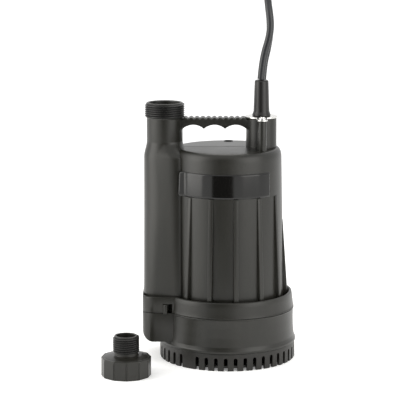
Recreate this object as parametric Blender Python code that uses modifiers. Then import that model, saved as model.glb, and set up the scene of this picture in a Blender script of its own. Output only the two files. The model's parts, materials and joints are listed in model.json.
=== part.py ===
"""Submersible utility pump with a threaded hose adapter beside it and its supply cord coiled behind.

Metres, +Z up. The motor shaft is the Z axis, the pump stands on z = 0, the discharge pipe is on -X.
Every size that can be set by itself is a named value below; what fits to another piece is worked out
from that piece's values and a named clearance.
"""
import math

import bmesh
import bpy
from mathutils import Matrix, Vector

MM = 0.001
GAP = 0.3 * MM                      # between pieces that rest on or fit in each other
OVER = 1.0 * MM                     # how far a cutter runs past the face that it opens
SINK = 2.0 * MM                     # how far a piece that is joined to another reaches into it

# Strainer: a slotted skirt that the pump stands on, with a closed floor
STRAINER_R = 71.4 * MM
STRAINER_TOP = 18.0 * MM
STRAINER_WALL = 3.0 * MM
STRAINER_FLOOR_LOW = 2.5 * MM
STRAINER_FLOOR = 2.5 * MM
STRAINER_FOOT_R = 14.0 * MM
SPIGOT_WALL = 3.0 * MM              # the ring on its top that fits inside the casing's skirt
SPIGOT_UP = 3.4 * MM
SPIGOT_ROOT = 3.2 * MM
SLOTS = 44
SLOT_WIDTH = 3.9 * MM
SLOT_TOP = 13.7 * MM
SLOT_TURN = math.radians(-2.05)     # the slot nearest the front lies this far from it
BLANK_SLOTS = (18, 40)              # two opposite slots that stay closed

# Volute casing: the wet chamber under the motor, with the elbow that leads to the riser
CASING_LOW = STRAINER_TOP + GAP
CASING_TOP = 54.0 * MM
CASING_R = 69.7 * MM
CASING_FOOT_R = 72.2 * MM
CASING_LIP_R = 70.3 * MM
CASING_FLOOR_LOW = 22.0 * MM
CASING_FLOOR = 4.0 * MM
CASING_SKIRT = 3.0 * MM
CASING_BEAD = 1.4 * MM
CHAMBER_R = 53.0 * MM
INLET_R = 18.0 * MM

# Lobe: the elbow's box on the left of the casing and of the housing flange
LOBE_LEFT = -89.0 * MM
LOBE_HALF = 40.5 * MM
LOBE_CORNER = 13.0 * MM
LOBE_LOW = 23.5 * MM
LOBE_WALL = 4.7 * MM
LOBE_BEND = 11.0 * MM
ELBOW_ROOF = 4.0 * MM

# Motor housing: dry chamber, flange, riser, discharge neck, cord pillar and handle in one moulding
FLANGE_TOP = 71.0 * MM
FLANGE_TOP_R = 67.4 * MM
CHANNEL_R = 64.9 * MM                # the channel between the flange's rim and the body
CHANNEL_DEEP = 5.0 * MM
HOUSING_TOP = 223.6 * MM
HOUSING_TOP_R = 51.0 * MM
SHOULDER_R = 56.3 * MM
SHOULDER_LOW = 213.4 * MM
HOUSING_LOW_R = 59.4 * MM
HOUSING_ROOF = 7.6 * MM
DRY_R = 52.5 * MM
SEAT_R = 56.5 * MM                  # the step that holds the seal plate
SEAT_UP = 9.1 * MM

RIBS = 14
RIB_TURN = math.radians(7.7)
RIB_WIDTH = 4.8 * MM
RIB_LOW_R = 63.9 * MM
RIB_TAPER = 0.051                   # how fast a rib's outer face draws in as it rises
RIB_TOP_FRONT = 176.4 * MM
RIB_TOP_SIDE = 147.0 * MM
RIB_FRONT_REACH = math.radians(70)  # ribs this near the front run up to the label

PIPE_X = -65.8 * MM
PIPE_BORE_R = 16.5 * MM
NECK_R = 18.75 * MM
NECK_LOW = 230.0 * MM
THREAD_R = 20.7 * MM
THREAD_DEPTH = 1.4 * MM
THREAD_PITCH = 2.209 * MM           # 11.5 threads to the inch
THREAD_TURNS = 7
PIPE_TOP = 270.0 * MM
RISER_R = 21.7 * MM
RISER_HALF = 35.0 * MM
RISER_CORNER = 12.0 * MM
PASSAGE_RIGHT = -60.3 * MM
PASSAGE_HALF = 31.0 * MM
PASSAGE_TOP_HALF = 14.0 * MM
PASSAGE_CORNER = 8.0 * MM
PASSAGE_WALL = 3.7 * MM
PASSAGE_ROOF = 3.0 * MM

PILLAR_X = 35.0 * MM
PILLAR_R = 15.8 * MM
PILLAR_TOP = 254.0 * MM
PILLAR_BORE_R = 8.6 * MM
EAR_OUT = 31.0 * MM                 # from the pillar's axis to each cover screw
EAR_R = 4.5 * MM

HANDLE_HALF = 9.0 * MM
HANDLE_CUSP = 243.1 * MM
HANDLE_ARCH = 247.4 * MM
HANDLE_TOP = 254.9 * MM
HANDLE_GRIPS = 3
HANDLE_RIDGES = 11
RIDGE_DEPTH = 2.0 * MM

PLUG_HOLE_R = 4.8 * MM
PLUG_HOLE_AT = (1.5 * MM, 44.0 * MM)
FILL_PLUG_THICK = 4.5 * MM
FILL_PLUG_DOWN = 3.0 * MM

LABEL_LOW = 176.9 * MM
LABEL_HIGH = 202.3 * MM
LABEL_FROM = math.radians(-57)      # measured from the front, to the right
LABEL_TO = math.radians(48.6)
LABEL_THICK = 0.8 * MM
LABEL_PROUD = 0.4 * MM

# Latch fingers that stand on the casing in notches of the flange
LATCH_X = -65.0 * MM
LATCH_WIDTH = 4.6 * MM
LATCH_UP = 9.6 * MM
LATCH_PROUD = 1.3 * MM
LATCH_DEEP = 3.2 * MM
NOTCH_SPARE = 4.6 * MM              # the notch is wider than its finger by this much

# Cord entry
COVER_THICK = 1.5 * MM
COVER_R = 17.0 * MM
COVER_EAR_R = 5.5 * MM
BOOT_TOP = 293.5 * MM
BOOT_R = 8.3 * MM
BOOT_TOP_R = 7.2 * MM
BOOT_FOOT_R = 9.6 * MM
BOOT_FOOT = 2.0 * MM
SEAL_LONG = 26.0 * MM
SCREW_R = 2.0 * MM
SCREW_HEAD_R = 3.7 * MM
SCREW_HEAD = 2.6 * MM
COVER_SCREW_LONG = 18.0 * MM

# Motor
SHAFT_R = 5.0 * MM
SHAFT_TOP = 171.0 * MM
STUD_R = 3.0 * MM
STUD_PROUD = 1.0 * MM
PLATE_THICK = 6.0 * MM
PLATE_HUB_R = 14.0 * MM
PLATE_HUB_DOWN = 6.3 * MM
SEAL_R = 9.0 * MM
SEAL_HIGH = 9.4 * MM
LOWER_BEARING_R = 13.0 * MM
LOWER_BEARING_HIGH = 9.0 * MM
UPPER_BEARING_R = 11.0 * MM
UPPER_BEARING_HIGH = 7.0 * MM
BEARING_SEAT_WALL = 4.2 * MM
IMPELLER_R = 36.0 * MM
IMPELLER_TOP = 46.0 * MM
IMPELLER_LOW = 27.5 * MM
IMPELLER_PLATE = 3.0 * MM
IMPELLER_HUB_R = 9.0 * MM
IMPELLER_VANES = 6
VANE_THICK = 2.4 * MM
VANE_SWEEP = math.radians(48)
WASHER_THICK = 1.5 * MM
WASHER_R = 8.0 * MM
NUT_HIGH = 4.7 * MM
NUT_R = 5.8 * MM
ROTOR_R = 24.0 * MM
STATOR_BORE = 0.6 * MM              # the air gap between rotor and stator
STATOR_R = 44.0 * MM
STATOR_LOW = 106.0 * MM
STATOR_HIGH = 144.0 * MM
END_RING_R = 21.0 * MM
END_RING_OUT = 7.0 * MM
WINDING_IN = 27.0 * MM
WINDING_OUT = 36.0 * MM
WINDING_UP = 17.0 * MM
BRACKET_WALL = 7.0 * MM
BRACKET_TOP = 176.0 * MM
BRACKET_LID = 4.0 * MM
THROUGH_BOLTS = 4
BOLT_R = 1.8 * MM
BOLT_HEAD_R = 3.2 * MM
BOLT_HEAD = 2.6 * MM
BOLT_GRIP = 14.0 * MM
POST_R = 3.4 * MM                   # the posts on the seal plate that carry the stator
CAPACITOR_R = 13.0 * MM
CAPACITOR_LONG = 50.0 * MM
CAPACITOR_Y = 20.0 * MM
STRAP_THICK = 1.0 * MM
STRAP_WIDE = 10.0 * MM
STRAP_FOOT = 8.0 * MM
TERMINAL_SIZE = (34.0 * MM, 14.0 * MM, 12.0 * MM)
TERMINAL_Y = -20.0 * MM
PROTECTOR_SIZE = (7.0 * MM, 18.0 * MM, 5.0 * MM)
ORING_R = 1.3 * MM
GASKET_THICK = 1.0 * MM
WIRE_R = 1.1 * MM
CASING_SCREW_R = 62.0 * MM
CASING_SCREW_ANGLES = (45, 125, -125, -45)
CASING_SCREW_LONG = 38.0 * MM
CASING_SCREW_SINK = 3.6 * MM

# Hose adapter, standing on the floor
ADAPTER_AT = (-104.3 * MM, -84.1 * MM)
ADAPTER_NUT_R = 25.6 * MM
ADAPTER_NUT_HIGH = 20.0 * MM
ADAPTER_SIDES = 12
ADAPTER_TURN = math.radians(2.7)
ADAPTER_SHOULDER = 1.5 * MM
ADAPTER_TOP = 41.8 * MM
ADAPTER_THREAD_R = 13.45 * MM
ADAPTER_THREAD_TURNS = 7
ADAPTER_BORE_R = 9.6 * MM
ADAPTER_SOCKET_DEEP = 16.5 * MM
ADAPTER_WASHER = 2.0 * MM

# Supply cord: hand-placed route, then a coil of round turns
CORD_R = 3.85 * MM
CORD_ROUTE = [
    (34.4, 0, 294.2), (35.0, 0, 301), (35.9, 0, 309), (37.2, 0, 317), (39.0, 0, 325),
    (41.3, 0, 333), (43.2, 0, 342), (43.8, 0, 351), (43.1, 1, 360), (41.8, 4, 370),
    (40.8, 10, 381), (40.3, 20, 393), (40.2, 33, 402), (40.6, 48, 406), (41.4, 63, 402),
    (42.3, 76, 392), (43.3, 84, 378), (45.0, 88, 362), (46.7, 90, 346), (46.6, 91, 332),
    (44.5, 91, 318), (41.5, 91, 304), (39.5, 91, 286), (39.5, 90, 260), (40.0, 89, 220),
    (40.5, 88.5, 180), (41.0, 88, 140), (41.0, 88, 100), (40.8, 88, 70), (40.2, 89, 48),
    (39.3, 92.5, 28), (38.3, 99, 13), (37.6, 107, 6.2), (37.35, 113.4, 4.5),
]
CORD_SHOWN_POINTS = 50
COIL_AT = (-10.9 * MM, 149.5 * MM)
COIL_MEAN_R = 45.0 * MM
COIL_ACROSS = 3
COIL_LAYERS = 3
COIL_SPACE = 7.9 * MM               # from one turn to the next
TAIL_ROUTE = [
    (0, 193.1, 28.3), (-12, 194.8, 28.6), (-24, 194.0, 29.6), (-35.5, 190.8, 31.4),
    (-45.2, 185.6, 33.5), (-52.2, 179.6, 35.3), (-56.2, 174.4, 36.0), (-57, 171.2, 36.0), (-57, 168.5, 36.0),
]
TAIL_POINTS = 14
PLUG_AT = (-57.0 * MM, 150.0 * MM)
PLUG_LONG = 36.0 * MM
PLUG_WIDE = 25.0 * MM
PLUG_THICK = 24.0 * MM
PLUG_NECK = 11.0 * MM
BLADE_LONG = 17.5 * MM
BLADE_WIDE = 6.3 * MM
BLADE_THICK = 1.5 * MM
BLADE_APART = 12.7 * MM
PIN_R = 2.4 * MM
PIN_LONG = 20.5 * MM
PIN_DROP = 11.9 * MM
PIN_UP = 4.6 * MM

# Worked out from the values above
HOUSING_LOW = CASING_TOP + GAP
LEDGE = HOUSING_LOW + SEAT_UP
PLATE_TOP = LEDGE - GAP
PLATE_LOW = PLATE_TOP - PLATE_THICK
PLATE_R = SEAT_R - GAP
HUB_LOW = PLATE_LOW - PLATE_HUB_DOWN
SEAL_LOW = HUB_LOW + GAP
SEAL_TOP = SEAL_LOW + SEAL_HIGH
COLLAR_TOP = PLATE_LOW - 2 * GAP - GASKET_THICK
CHANNEL_FLOOR = FLANGE_TOP - CHANNEL_DEEP
ROOF_LOW = HOUSING_TOP - HOUSING_ROOF
STATOR_INNER = ROTOR_R + STATOR_BORE
BOLT_CIRCLE = STATOR_R - BRACKET_WALL / 2
POST_TOP = STATOR_LOW - GAP
LID_LOW = BRACKET_TOP - BRACKET_LID
COVER_LOW = PILLAR_TOP + GAP
COVER_TOP = COVER_LOW + COVER_THICK
SCREW_HOLE_R = SCREW_R + GAP
CHAMBER_FLOOR = CASING_FLOOR_LOW + CASING_FLOOR
SKIRT_BORE_R = CASING_FOOT_R - CASING_SKIRT
SPIGOT_R = SKIRT_BORE_R - GAP
ELBOW_LEFT = LOBE_LEFT + LOBE_WALL
SCREW_HEAD_UP = CASING_FLOOR_LOW + CASING_SCREW_SINK
COIL_R = COIL_MEAN_R + COIL_ACROSS * COIL_SPACE / 2
COIL_BORE_R = COIL_MEAN_R - COIL_ACROSS * COIL_SPACE / 2
COIL_TOP = COIL_LAYERS * COIL_SPACE
PLUG_Z = COIL_TOP + GAP + PLUG_THICK / 2

FINISHES = {
    "black_plastic": ((0.018, 0.018, 0.018), 0.38, 0.0),
    "gloss_plastic": ((0.010, 0.010, 0.010), 0.12, 0.0),
    "inner_plastic": ((0.060, 0.060, 0.065), 0.5, 0.0),
    "rubber": ((0.012, 0.012, 0.012), 0.7, 0.0),
    "steel": ((0.62, 0.62, 0.61), 0.3, 1.0),
    "lamination": ((0.22, 0.22, 0.23), 0.45, 1.0),
    "aluminium": ((0.55, 0.56, 0.58), 0.4, 1.0),
    "copper": ((0.58, 0.24, 0.10), 0.35, 1.0),
    "brass": ((0.68, 0.50, 0.20), 0.3, 1.0),
    "ceramic": ((0.70, 0.68, 0.62), 0.35, 0.0),
    "capacitor_can": ((0.30, 0.31, 0.33), 0.4, 0.0),
}


def collection(name):
    made = bpy.data.collections.new(name)
    bpy.context.scene.collection.children.link(made)
    return made


for leftover in list(bpy.data.objects):
    bpy.data.objects.remove(leftover, do_unlink=True)
PARTS = collection("submersible_pump")
CUTTERS = collection("cutters")


def part(shape, name, finish, parent=None):
    """Show shape as the sub-part called name."""
    CUTTERS.objects.unlink(shape)
    PARTS.objects.link(shape)
    shape.hide_render = False
    shape.display_type = "TEXTURED"
    shape.name = name
    colour, roughness, metallic = FINISHES[finish]
    material = bpy.data.materials.new(name)
    material.use_nodes = True
    shader = material.node_tree.nodes["Principled BSDF"]
    shader.inputs["Base Color"].default_value = (*colour, 1.0)
    shader.inputs["Roughness"].default_value = roughness
    shader.inputs["Metallic"].default_value = metallic
    shape.data.materials.clear()
    shape.data.materials.append(material)
    if parent:
        place = shape.matrix_world.copy()
        shape.parent = parent
        shape.matrix_parent_inverse = parent.matrix_world.inverted()
        shape.matrix_world = place
    return shape


def guide(name, data, at=(0, 0, 0)):
    """A new object; it stays a hidden cutter until part() shows it."""
    made = bpy.data.objects.new(name, data)
    made.location = at
    made.hide_render = True
    made.display_type = "WIRE"
    CUTTERS.objects.link(made)
    return made


def shaded(mesh):
    mesh.shade_smooth()
    mesh.set_sharp_from_angle(angle=math.radians(32))
    return mesh


def from_bmesh(name, bm, at=(0, 0, 0)):
    bmesh.ops.recalc_face_normals(bm, faces=bm.faces)
    mesh = bpy.data.meshes.new(name)
    bm.to_mesh(mesh)
    bm.free()
    return guide(name, shaded(mesh), at)


def around(angle, radius):
    """The point at that radius, turned from the front (-Y) towards +X."""
    return radius * math.sin(angle), -radius * math.cos(angle)


def turned(name, outline, steps, at=(0, 0, 0)):
    """A profile of (radius, height), from its top down the outer side, turned about Z."""
    closed = outline[0][0] > 0 or outline[-1][0] > 0
    edges = [(i, i + 1) for i in range(len(outline) - 1)]
    if closed:
        edges.append((len(outline) - 1, 0))
    mesh = bpy.data.meshes.new(name)
    mesh.from_pydata([(r, 0, z) for r, z in outline], edges, [])
    made = guide(name, mesh, at)
    screw = made.modifiers.new("turn", "SCREW")
    screw.steps = steps
    screw.render_steps = steps
    screw.use_merge_vertices = True
    screw.merge_threshold = 0.00001
    return made


def ring(name, inner, outer, low, high, steps, at=(0, 0, 0)):
    outline = [(inner, high), (outer, high), (outer, low), (inner, low)]
    return turned(name, outline, steps, at)


def rod(name, radius, low, high, at=(0, 0), sides=24, turn=0.0):
    """An upright cylinder or prism."""
    bm = bmesh.new()
    place = Matrix.Translation((0, 0, (low + high) / 2)) @ Matrix.Rotation(turn, 4, "Z")
    bmesh.ops.create_cone(
        bm, cap_ends=True, segments=sides, radius1=radius, radius2=radius, depth=high - low, matrix=place
    )
    return from_bmesh(name, bm, (*at, 0))


def box(name, low, high):
    bm = bmesh.new()
    size = Vector(high) - Vector(low)
    bmesh.ops.create_cube(bm, size=1, matrix=Matrix.Diagonal((*size, 1)))
    return from_bmesh(name, bm, (Vector(low) + Vector(high)) / 2)


def meshed(curve_object):
    """The curve as a closed mesh object."""
    bpy.context.view_layer.update()
    seen = curve_object.evaluated_get(bpy.context.evaluated_depsgraph_get())
    mesh = bpy.data.meshes.new_from_object(seen)
    bm = bmesh.new()
    bm.from_mesh(mesh)
    bmesh.ops.remove_doubles(bm, verts=bm.verts, dist=0.000001)
    bmesh.ops.recalc_face_normals(bm, faces=bm.faces)
    bm.to_mesh(mesh)
    bm.free()
    made = guide(curve_object.name, shaded(mesh))
    made.matrix_world = curve_object.matrix_world
    bpy.data.objects.remove(curve_object, do_unlink=True)
    return made


def slab(name, outline, low, high, place=None):
    """A flat outline of (x, y) points, extruded from low to high and then moved by place."""
    curve = bpy.data.curves.new(name, "CURVE")
    curve.dimensions = "2D"
    curve.fill_mode = "BOTH"
    curve.extrude = (high - low) / 2
    spline = curve.splines.new("POLY")
    spline.points.add(len(outline) - 1)
    for point, (x, y) in zip(spline.points, outline):
        point.co = (x, y, 0, 1)
    spline.use_cyclic_u = True
    made = guide(name, curve)
    made.matrix_world = (place or Matrix()) @ Matrix.Translation((0, 0, (low + high) / 2))
    return meshed(made)


def loft(name, sections, place=None):
    """A solid through outlines with equally many points, each given with its height."""
    bm = bmesh.new()
    rows = [[bm.verts.new((x, y, z)) for x, y in outline] for z, outline in sections]
    count = len(rows[0])
    for low, high in zip(rows, rows[1:]):
        for i in range(count):
            j = (i + 1) % count
            bm.faces.new((low[i], low[j], high[j], high[i]))
    bm.faces.new(list(reversed(rows[0])))
    bm.faces.new(rows[-1])
    made = from_bmesh(name, bm)
    made.matrix_world = place or Matrix()
    return made


def joined(name, shapes):
    """Separate shapes as one object, for one Boolean."""
    bm = bmesh.new()
    for shape in shapes:
        mesh = shape.data.copy()
        mesh.transform(shape.matrix_basis)
        bm.from_mesh(mesh)
        bpy.data.meshes.remove(mesh)
        bpy.data.objects.remove(shape, do_unlink=True)
    return from_bmesh(name, bm)


def combine(base, operation, tools):
    for tool in tools:
        modifier = base.modifiers.new(tool.name, "BOOLEAN")
        modifier.operation = operation
        modifier.object = tool
    return base


def cut(base, *tools):
    return combine(base, "DIFFERENCE", tools)


def add(base, *tools):
    return combine(base, "UNION", tools)


def arc(centre, radius, start, end, steps):
    """Points on an arc, both ends included; the angles are in degrees from +X."""
    angles = [math.radians(start + (end - start) * i / steps) for i in range(steps + 1)]
    return [(centre[0] + radius * math.cos(a), centre[1] + radius * math.sin(a)) for a in angles]


def rounded_box(left, right, half, corner, steps=4):
    """The outline of a box with round corners, from y = -half to y = half."""
    corners = [
        ((right - corner, half - corner), 0),
        ((left + corner, half - corner), 90),
        ((left + corner, -half + corner), 180),
        ((right - corner, -half + corner), 270),
    ]
    return [p for centre, start in corners for p in arc(centre, corner, start, start + 90, steps)]


def thread_outline(crest, depth, top, turns, pitch):
    """Down a thread's flanks, from its top."""
    points = [(crest - depth, top)]
    for turn in range(turns):
        points.append((crest, top - (turn + 0.5) * pitch))
        points.append((crest - depth, top - (turn + 1) * pitch))
    return points


def smooth_route(route, count):
    """Points equally far apart on a smooth curve through route, which is in millimetres."""
    knots = [Vector(p) * MM for p in route]
    steps = [b - a for a, b in zip(knots, knots[1:])]
    slopes = [s.normalized() for s in steps]
    heads = [slopes[0]]
    for before, after, long_in, long_out in zip(slopes, slopes[1:], steps, steps[1:]):
        share = long_in.length / (long_in.length + long_out.length)
        heads.append(before.lerp(after, share))
    heads.append(slopes[-1])
    fine = []
    for a, b, head_a, head_b in zip(knots, knots[1:], heads, heads[1:]):
        chord = (b - a).length
        for step in range(20):
            t = step / 20
            near = (1 + 2 * t) * (1 - t) ** 2 * a + t * (1 - t) ** 2 * chord * head_a
            far = t * t * (3 - 2 * t) * b - t * t * (1 - t) * chord * head_b
            fine.append(near + far)
    fine.append(knots[-1])
    lengths = [0.0]
    for p, q in zip(fine, fine[1:]):
        lengths.append(lengths[-1] + (q - p).length)
    points, at = [], 0
    for i in range(count):
        goal = lengths[-1] * i / (count - 1)
        while at < len(lengths) - 2 and lengths[at + 1] < goal:
            at += 1
        share = (goal - lengths[at]) / (lengths[at + 1] - lengths[at])
        points.append(fine[at].lerp(fine[at + 1], min(share, 1.0)))
    return points


def tube(name, points, radius, resolution):
    curve = bpy.data.curves.new(name, "CURVE")
    curve.dimensions = "3D"
    curve.bevel_depth = radius
    curve.bevel_resolution = resolution
    curve.use_fill_caps = True
    spline = curve.splines.new("POLY")
    spline.points.add(len(points) - 1)
    for point, place in zip(spline.points, points):
        point.co = (*place, 1)
    return meshed(guide(name, curve))


def bolt_places(radius):
    return [
        (radius * math.cos(a), radius * math.sin(a))
        for a in (math.radians(45 + 360 * i / THROUGH_BOLTS) for i in range(THROUGH_BOLTS))
    ]


def casing_screw_places():
    return [
        (CASING_SCREW_R * math.cos(math.radians(a)), CASING_SCREW_R * math.sin(math.radians(a)))
        for a in CASING_SCREW_ANGLES
    ]


def headed(name, head_r, head, shank_r, shank, at):
    """A domed screw, its head's underside at `at` and its shank downwards."""
    dome = [(head_r * math.sin(a), head * (0.35 + 0.65 * math.cos(a))) for a in (0, 0.8, 1.35)]
    outline = [(0, dome[0][1]), *dome[1:], (head_r, head * 0.35), (head_r, 0), (shank_r, 0), (shank_r, -shank), (0, -shank)]
    return turned(name, outline, 12, at)


def strainer():
    wall = STRAINER_R - STRAINER_WALL
    low, high = STRAINER_FLOOR_LOW, STRAINER_FLOOR_LOW + STRAINER_FLOOR
    ledge = STRAINER_TOP - SPIGOT_ROOT
    outline = [
        (0, high), (wall, high), (wall, ledge), (SPIGOT_R - SPIGOT_WALL, ledge),
        (SPIGOT_R - SPIGOT_WALL, STRAINER_TOP + SPIGOT_UP), (SPIGOT_R, STRAINER_TOP + SPIGOT_UP),
        (SPIGOT_R, STRAINER_TOP), (STRAINER_R, STRAINER_TOP), (STRAINER_R, 0), (wall, 0), (wall, low),
        (STRAINER_FOOT_R, low), (STRAINER_FOOT_R, 0), (0, 0),
    ]
    body = turned("strainer", outline, SLOTS)
    half = SLOT_WIDTH / 2
    mouth = [(-half, -OVER), (half, -OVER), *arc((0, SLOT_TOP - half), half, 0, 180, 3)]
    cutters = []
    for i in range(SLOTS):
        if i in BLANK_SLOTS:
            continue
        turn = SLOT_TURN + 2 * math.pi * i / SLOTS
        place = Matrix.Rotation(turn, 4, "Z") @ Matrix.Rotation(math.pi / 2, 4, "X")
        cutters.append(slab("slot", mouth, wall - OVER, STRAINER_R + OVER, place))
    return cut(body, joined("slots", cutters))


def lobe(name, low, high, bend=0.0):
    """The elbow's box, with its lower left edge bent round if bend is given."""
    plan = rounded_box(LOBE_LEFT, -SEAT_R + LOBE_CORNER, LOBE_HALF, LOBE_CORNER)
    block = slab(name, plan, low, high)
    if bend:
        right = -SEAT_R + 2 * LOBE_CORNER
        side = [(right, high + OVER), (LOBE_LEFT - OVER, high + OVER), (LOBE_LEFT - OVER, low + bend)]
        side += arc((LOBE_LEFT + bend, low + bend), bend, 180, 270, 5) + [(right, low)]
        upright = Matrix.Rotation(math.pi / 2, 4, "X")
        combine(block, "INTERSECT", [slab(name + "_side", side, -LOBE_HALF - OVER, LOBE_HALF + OVER, upright)])
    return block


def volute_casing():
    outline = [
        (0, CASING_TOP), (CASING_LIP_R, CASING_TOP), (CASING_LIP_R, CASING_TOP - CASING_BEAD),
        (CASING_R, CASING_TOP - 2 * CASING_BEAD), (CASING_R, (CASING_LOW + CASING_TOP) / 2),
        (CASING_R + 0.9 * MM, CASING_LOW + 5.7 * MM), (CASING_FOOT_R, CASING_LOW + 2.2 * MM),
        (CASING_FOOT_R, CASING_LOW), (0, CASING_LOW),
    ]
    body = turned("volute_casing", outline, 44)
    collar = rod("spigot", PLATE_R, CASING_TOP - SINK, COLLAR_TOP, sides=40)
    add(body, lobe("casing_lobe", LOBE_LOW, CASING_TOP, LOBE_BEND), collar)
    finger_r = LATCH_WIDTH / 2
    finger_y = LOBE_HALF + LATCH_PROUD - finger_r
    for side in (-1, 1):
        add(body, rod("latch", finger_r, CASING_TOP - SINK, CASING_TOP + LATCH_UP, (LATCH_X, side * finger_y), 16))
    cut(
        body,
        rod("skirt_bore", SKIRT_BORE_R, CASING_LOW - OVER, CASING_FLOOR_LOW, sides=40),
        rod("inlet", INLET_R, CASING_FLOOR_LOW - OVER, CHAMBER_FLOOR + OVER, sides=20),
        rod("chamber", CHAMBER_R, CHAMBER_FLOOR, COLLAR_TOP + OVER, sides=40),
        slab(
            "elbow", rounded_box(ELBOW_LEFT, -CHAMBER_R + 3 * PASSAGE_CORNER, PASSAGE_HALF, PASSAGE_CORNER),
            CHAMBER_FLOOR, CASING_TOP - ELBOW_ROOF,
        ),
        slab(
            "elbow_up", rounded_box(ELBOW_LEFT, PASSAGE_RIGHT, PASSAGE_HALF, PASSAGE_CORNER),
            CASING_TOP - ELBOW_ROOF - PASSAGE_CORNER, CASING_TOP + OVER,
        ),
    )
    places = casing_screw_places()
    heads = [rod("head", SCREW_HEAD_R + GAP, CASING_FLOOR_LOW - OVER, SCREW_HEAD_UP, p, 12) for p in places]
    shanks = [rod("shank", SCREW_HOLE_R, SCREW_HEAD_UP - OVER, CASING_TOP + OVER, p, 10) for p in places]
    return cut(body, joined("screw_heads", heads), joined("screw_shanks", shanks))


def housing_shell():
    """The turned body with its flange and lobe, before anything is cut from it."""
    rise = HOUSING_TOP - SHOULDER_LOW
    round_off = SHOULDER_R - HOUSING_TOP_R
    shoulder = [
        (HOUSING_TOP_R + round_off * math.sin(a), SHOULDER_LOW + rise * math.cos(a))
        for a in (math.radians(d) for d in (0, 30, 60, 90))
    ]
    outline = [
        (0, HOUSING_TOP), *shoulder, (HOUSING_LOW_R, FLANGE_TOP), (FLANGE_TOP_R, FLANGE_TOP),
        (CASING_LIP_R, HOUSING_LOW + 2 * CASING_BEAD), (CASING_LIP_R, HOUSING_LOW), (0, HOUSING_LOW),
    ]
    body = turned("motor_housing", outline, 48)
    add(body, lobe("flange_lobe", HOUSING_LOW, FLANGE_TOP))
    return cut(body, ring("channel", HOUSING_LOW_R, CHANNEL_R, CHANNEL_FLOOR, FLANGE_TOP + OVER, 48))


def ribs():
    made = []
    lean = Matrix.Rotation(math.pi / 2, 4, "X")
    root = SHOULDER_R - SINK
    low = CHANNEL_FLOOR - SINK / 2
    for i in range(RIBS):
        angle = RIB_TURN + 2 * math.pi * i / RIBS
        if angle > math.pi:
            angle -= 2 * math.pi
        x, y = around(angle, HOUSING_LOW_R)
        if x < 0 and abs(y) < RISER_HALF + RIB_WIDTH / 2:
            continue
        top = RIB_TOP_FRONT if abs(angle) < RIB_FRONT_REACH else RIB_TOP_SIDE
        tip = RIB_LOW_R - RIB_TAPER * (top - low)
        outline = [(root, low), (RIB_LOW_R, low), (tip, top), (root, top)]
        turn = Matrix.Rotation(angle - math.pi / 2, 4, "Z")
        made.append(slab("rib", outline, -RIB_WIDTH / 2, RIB_WIDTH / 2, turn @ lean))
    return joined("ribs", made)


def pipe_section(radius):
    corner = radius - 0.2 * MM
    return rounded_box(PIPE_X - radius, PIPE_X + radius, radius, corner)


def riser():
    """From a round-cornered box on the lobe to the round discharge neck."""
    foot = rounded_box(LOBE_LEFT + OVER, -SHOULDER_R + 6 * MM, RISER_HALF, RISER_CORNER)
    sections = [(CHANNEL_FLOOR - SINK, foot), (FLANGE_TOP, foot), (SHOULDER_LOW, pipe_section(RISER_R))]
    for share in (0.2, 0.4, 0.6, 0.8, 1.0):
        ease = share * share * (3 - 2 * share)
        radius = RISER_R + (NECK_R - RISER_R) * ease
        sections.append((SHOULDER_LOW + (NECK_LOW - SHOULDER_LOW) * share, pipe_section(radius)))
    return loft("riser", sections)


def neck():
    thread = thread_outline(THREAD_R, THREAD_DEPTH, PIPE_TOP, THREAD_TURNS, THREAD_PITCH)
    low = NECK_LOW - SINK
    end = thread[-1][1]
    outline = [(0, PIPE_TOP), *thread, (NECK_R, end), (NECK_R, low), (0, low)]
    return turned("neck", outline, 24, (PIPE_X, 0, 0))


def handle():
    left = PIPE_X + math.sqrt(NECK_R ** 2 - HANDLE_HALF ** 2) - SINK
    right = PILLAR_X - math.sqrt(PILLAR_R ** 2 - HANDLE_HALF ** 2) + SINK
    grip_left, grip_right = PIPE_X + NECK_R, PILLAR_X - PILLAR_R
    pitch = (grip_right - grip_left) / HANDLE_RIDGES
    outline = [(left, HANDLE_TOP - RIDGE_DEPTH)]
    for ridge in range(HANDLE_RIDGES):
        for share in (0.0, 0.2, 0.5, 0.8):
            x = grip_left + pitch * (ridge + share)
            outline.append((x, HANDLE_TOP - RIDGE_DEPTH * (1 - math.sin(math.pi * share) ** 0.7)))
    outline += [(grip_right, HANDLE_TOP - RIDGE_DEPTH), (right, HANDLE_TOP - RIDGE_DEPTH)]
    outline.append((right, HANDLE_CUSP))
    span = (grip_right - grip_left) / HANDLE_GRIPS
    for grip in range(HANDLE_GRIPS):
        for share in (0.0, 0.25, 0.5, 0.75):
            x = grip_right - span * (grip + share)
            outline.append((x, HANDLE_CUSP + (HANDLE_ARCH - HANDLE_CUSP) * math.sin(math.pi * share)))
    outline += [(grip_left, HANDLE_CUSP), (left, HANDLE_CUSP)]
    return slab("handle", outline, -HANDLE_HALF, HANDLE_HALF, Matrix.Rotation(math.pi / 2, 4, "X"))


def capsule(half, radius):
    """An outline with round ends along Y, about the cord pillar's axis."""
    ends = arc((PILLAR_X, half), radius, 0, 180, 6) + arc((PILLAR_X, -half), radius, 180, 360, 6)
    return ends


def passage():
    """The water's way up from the casing, beside the dry chamber."""
    low = rounded_box(ELBOW_LEFT, PASSAGE_RIGHT, PASSAGE_HALF, PASSAGE_CORNER)
    high = rounded_box(ELBOW_LEFT, PASSAGE_RIGHT, PASSAGE_TOP_HALF, PASSAGE_CORNER)
    top = ROOF_LOW + PASSAGE_ROOF
    return loft("passage", [(HOUSING_LOW - OVER, low), (FLANGE_TOP, low), (SHOULDER_LOW, high), (top, high)])


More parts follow.
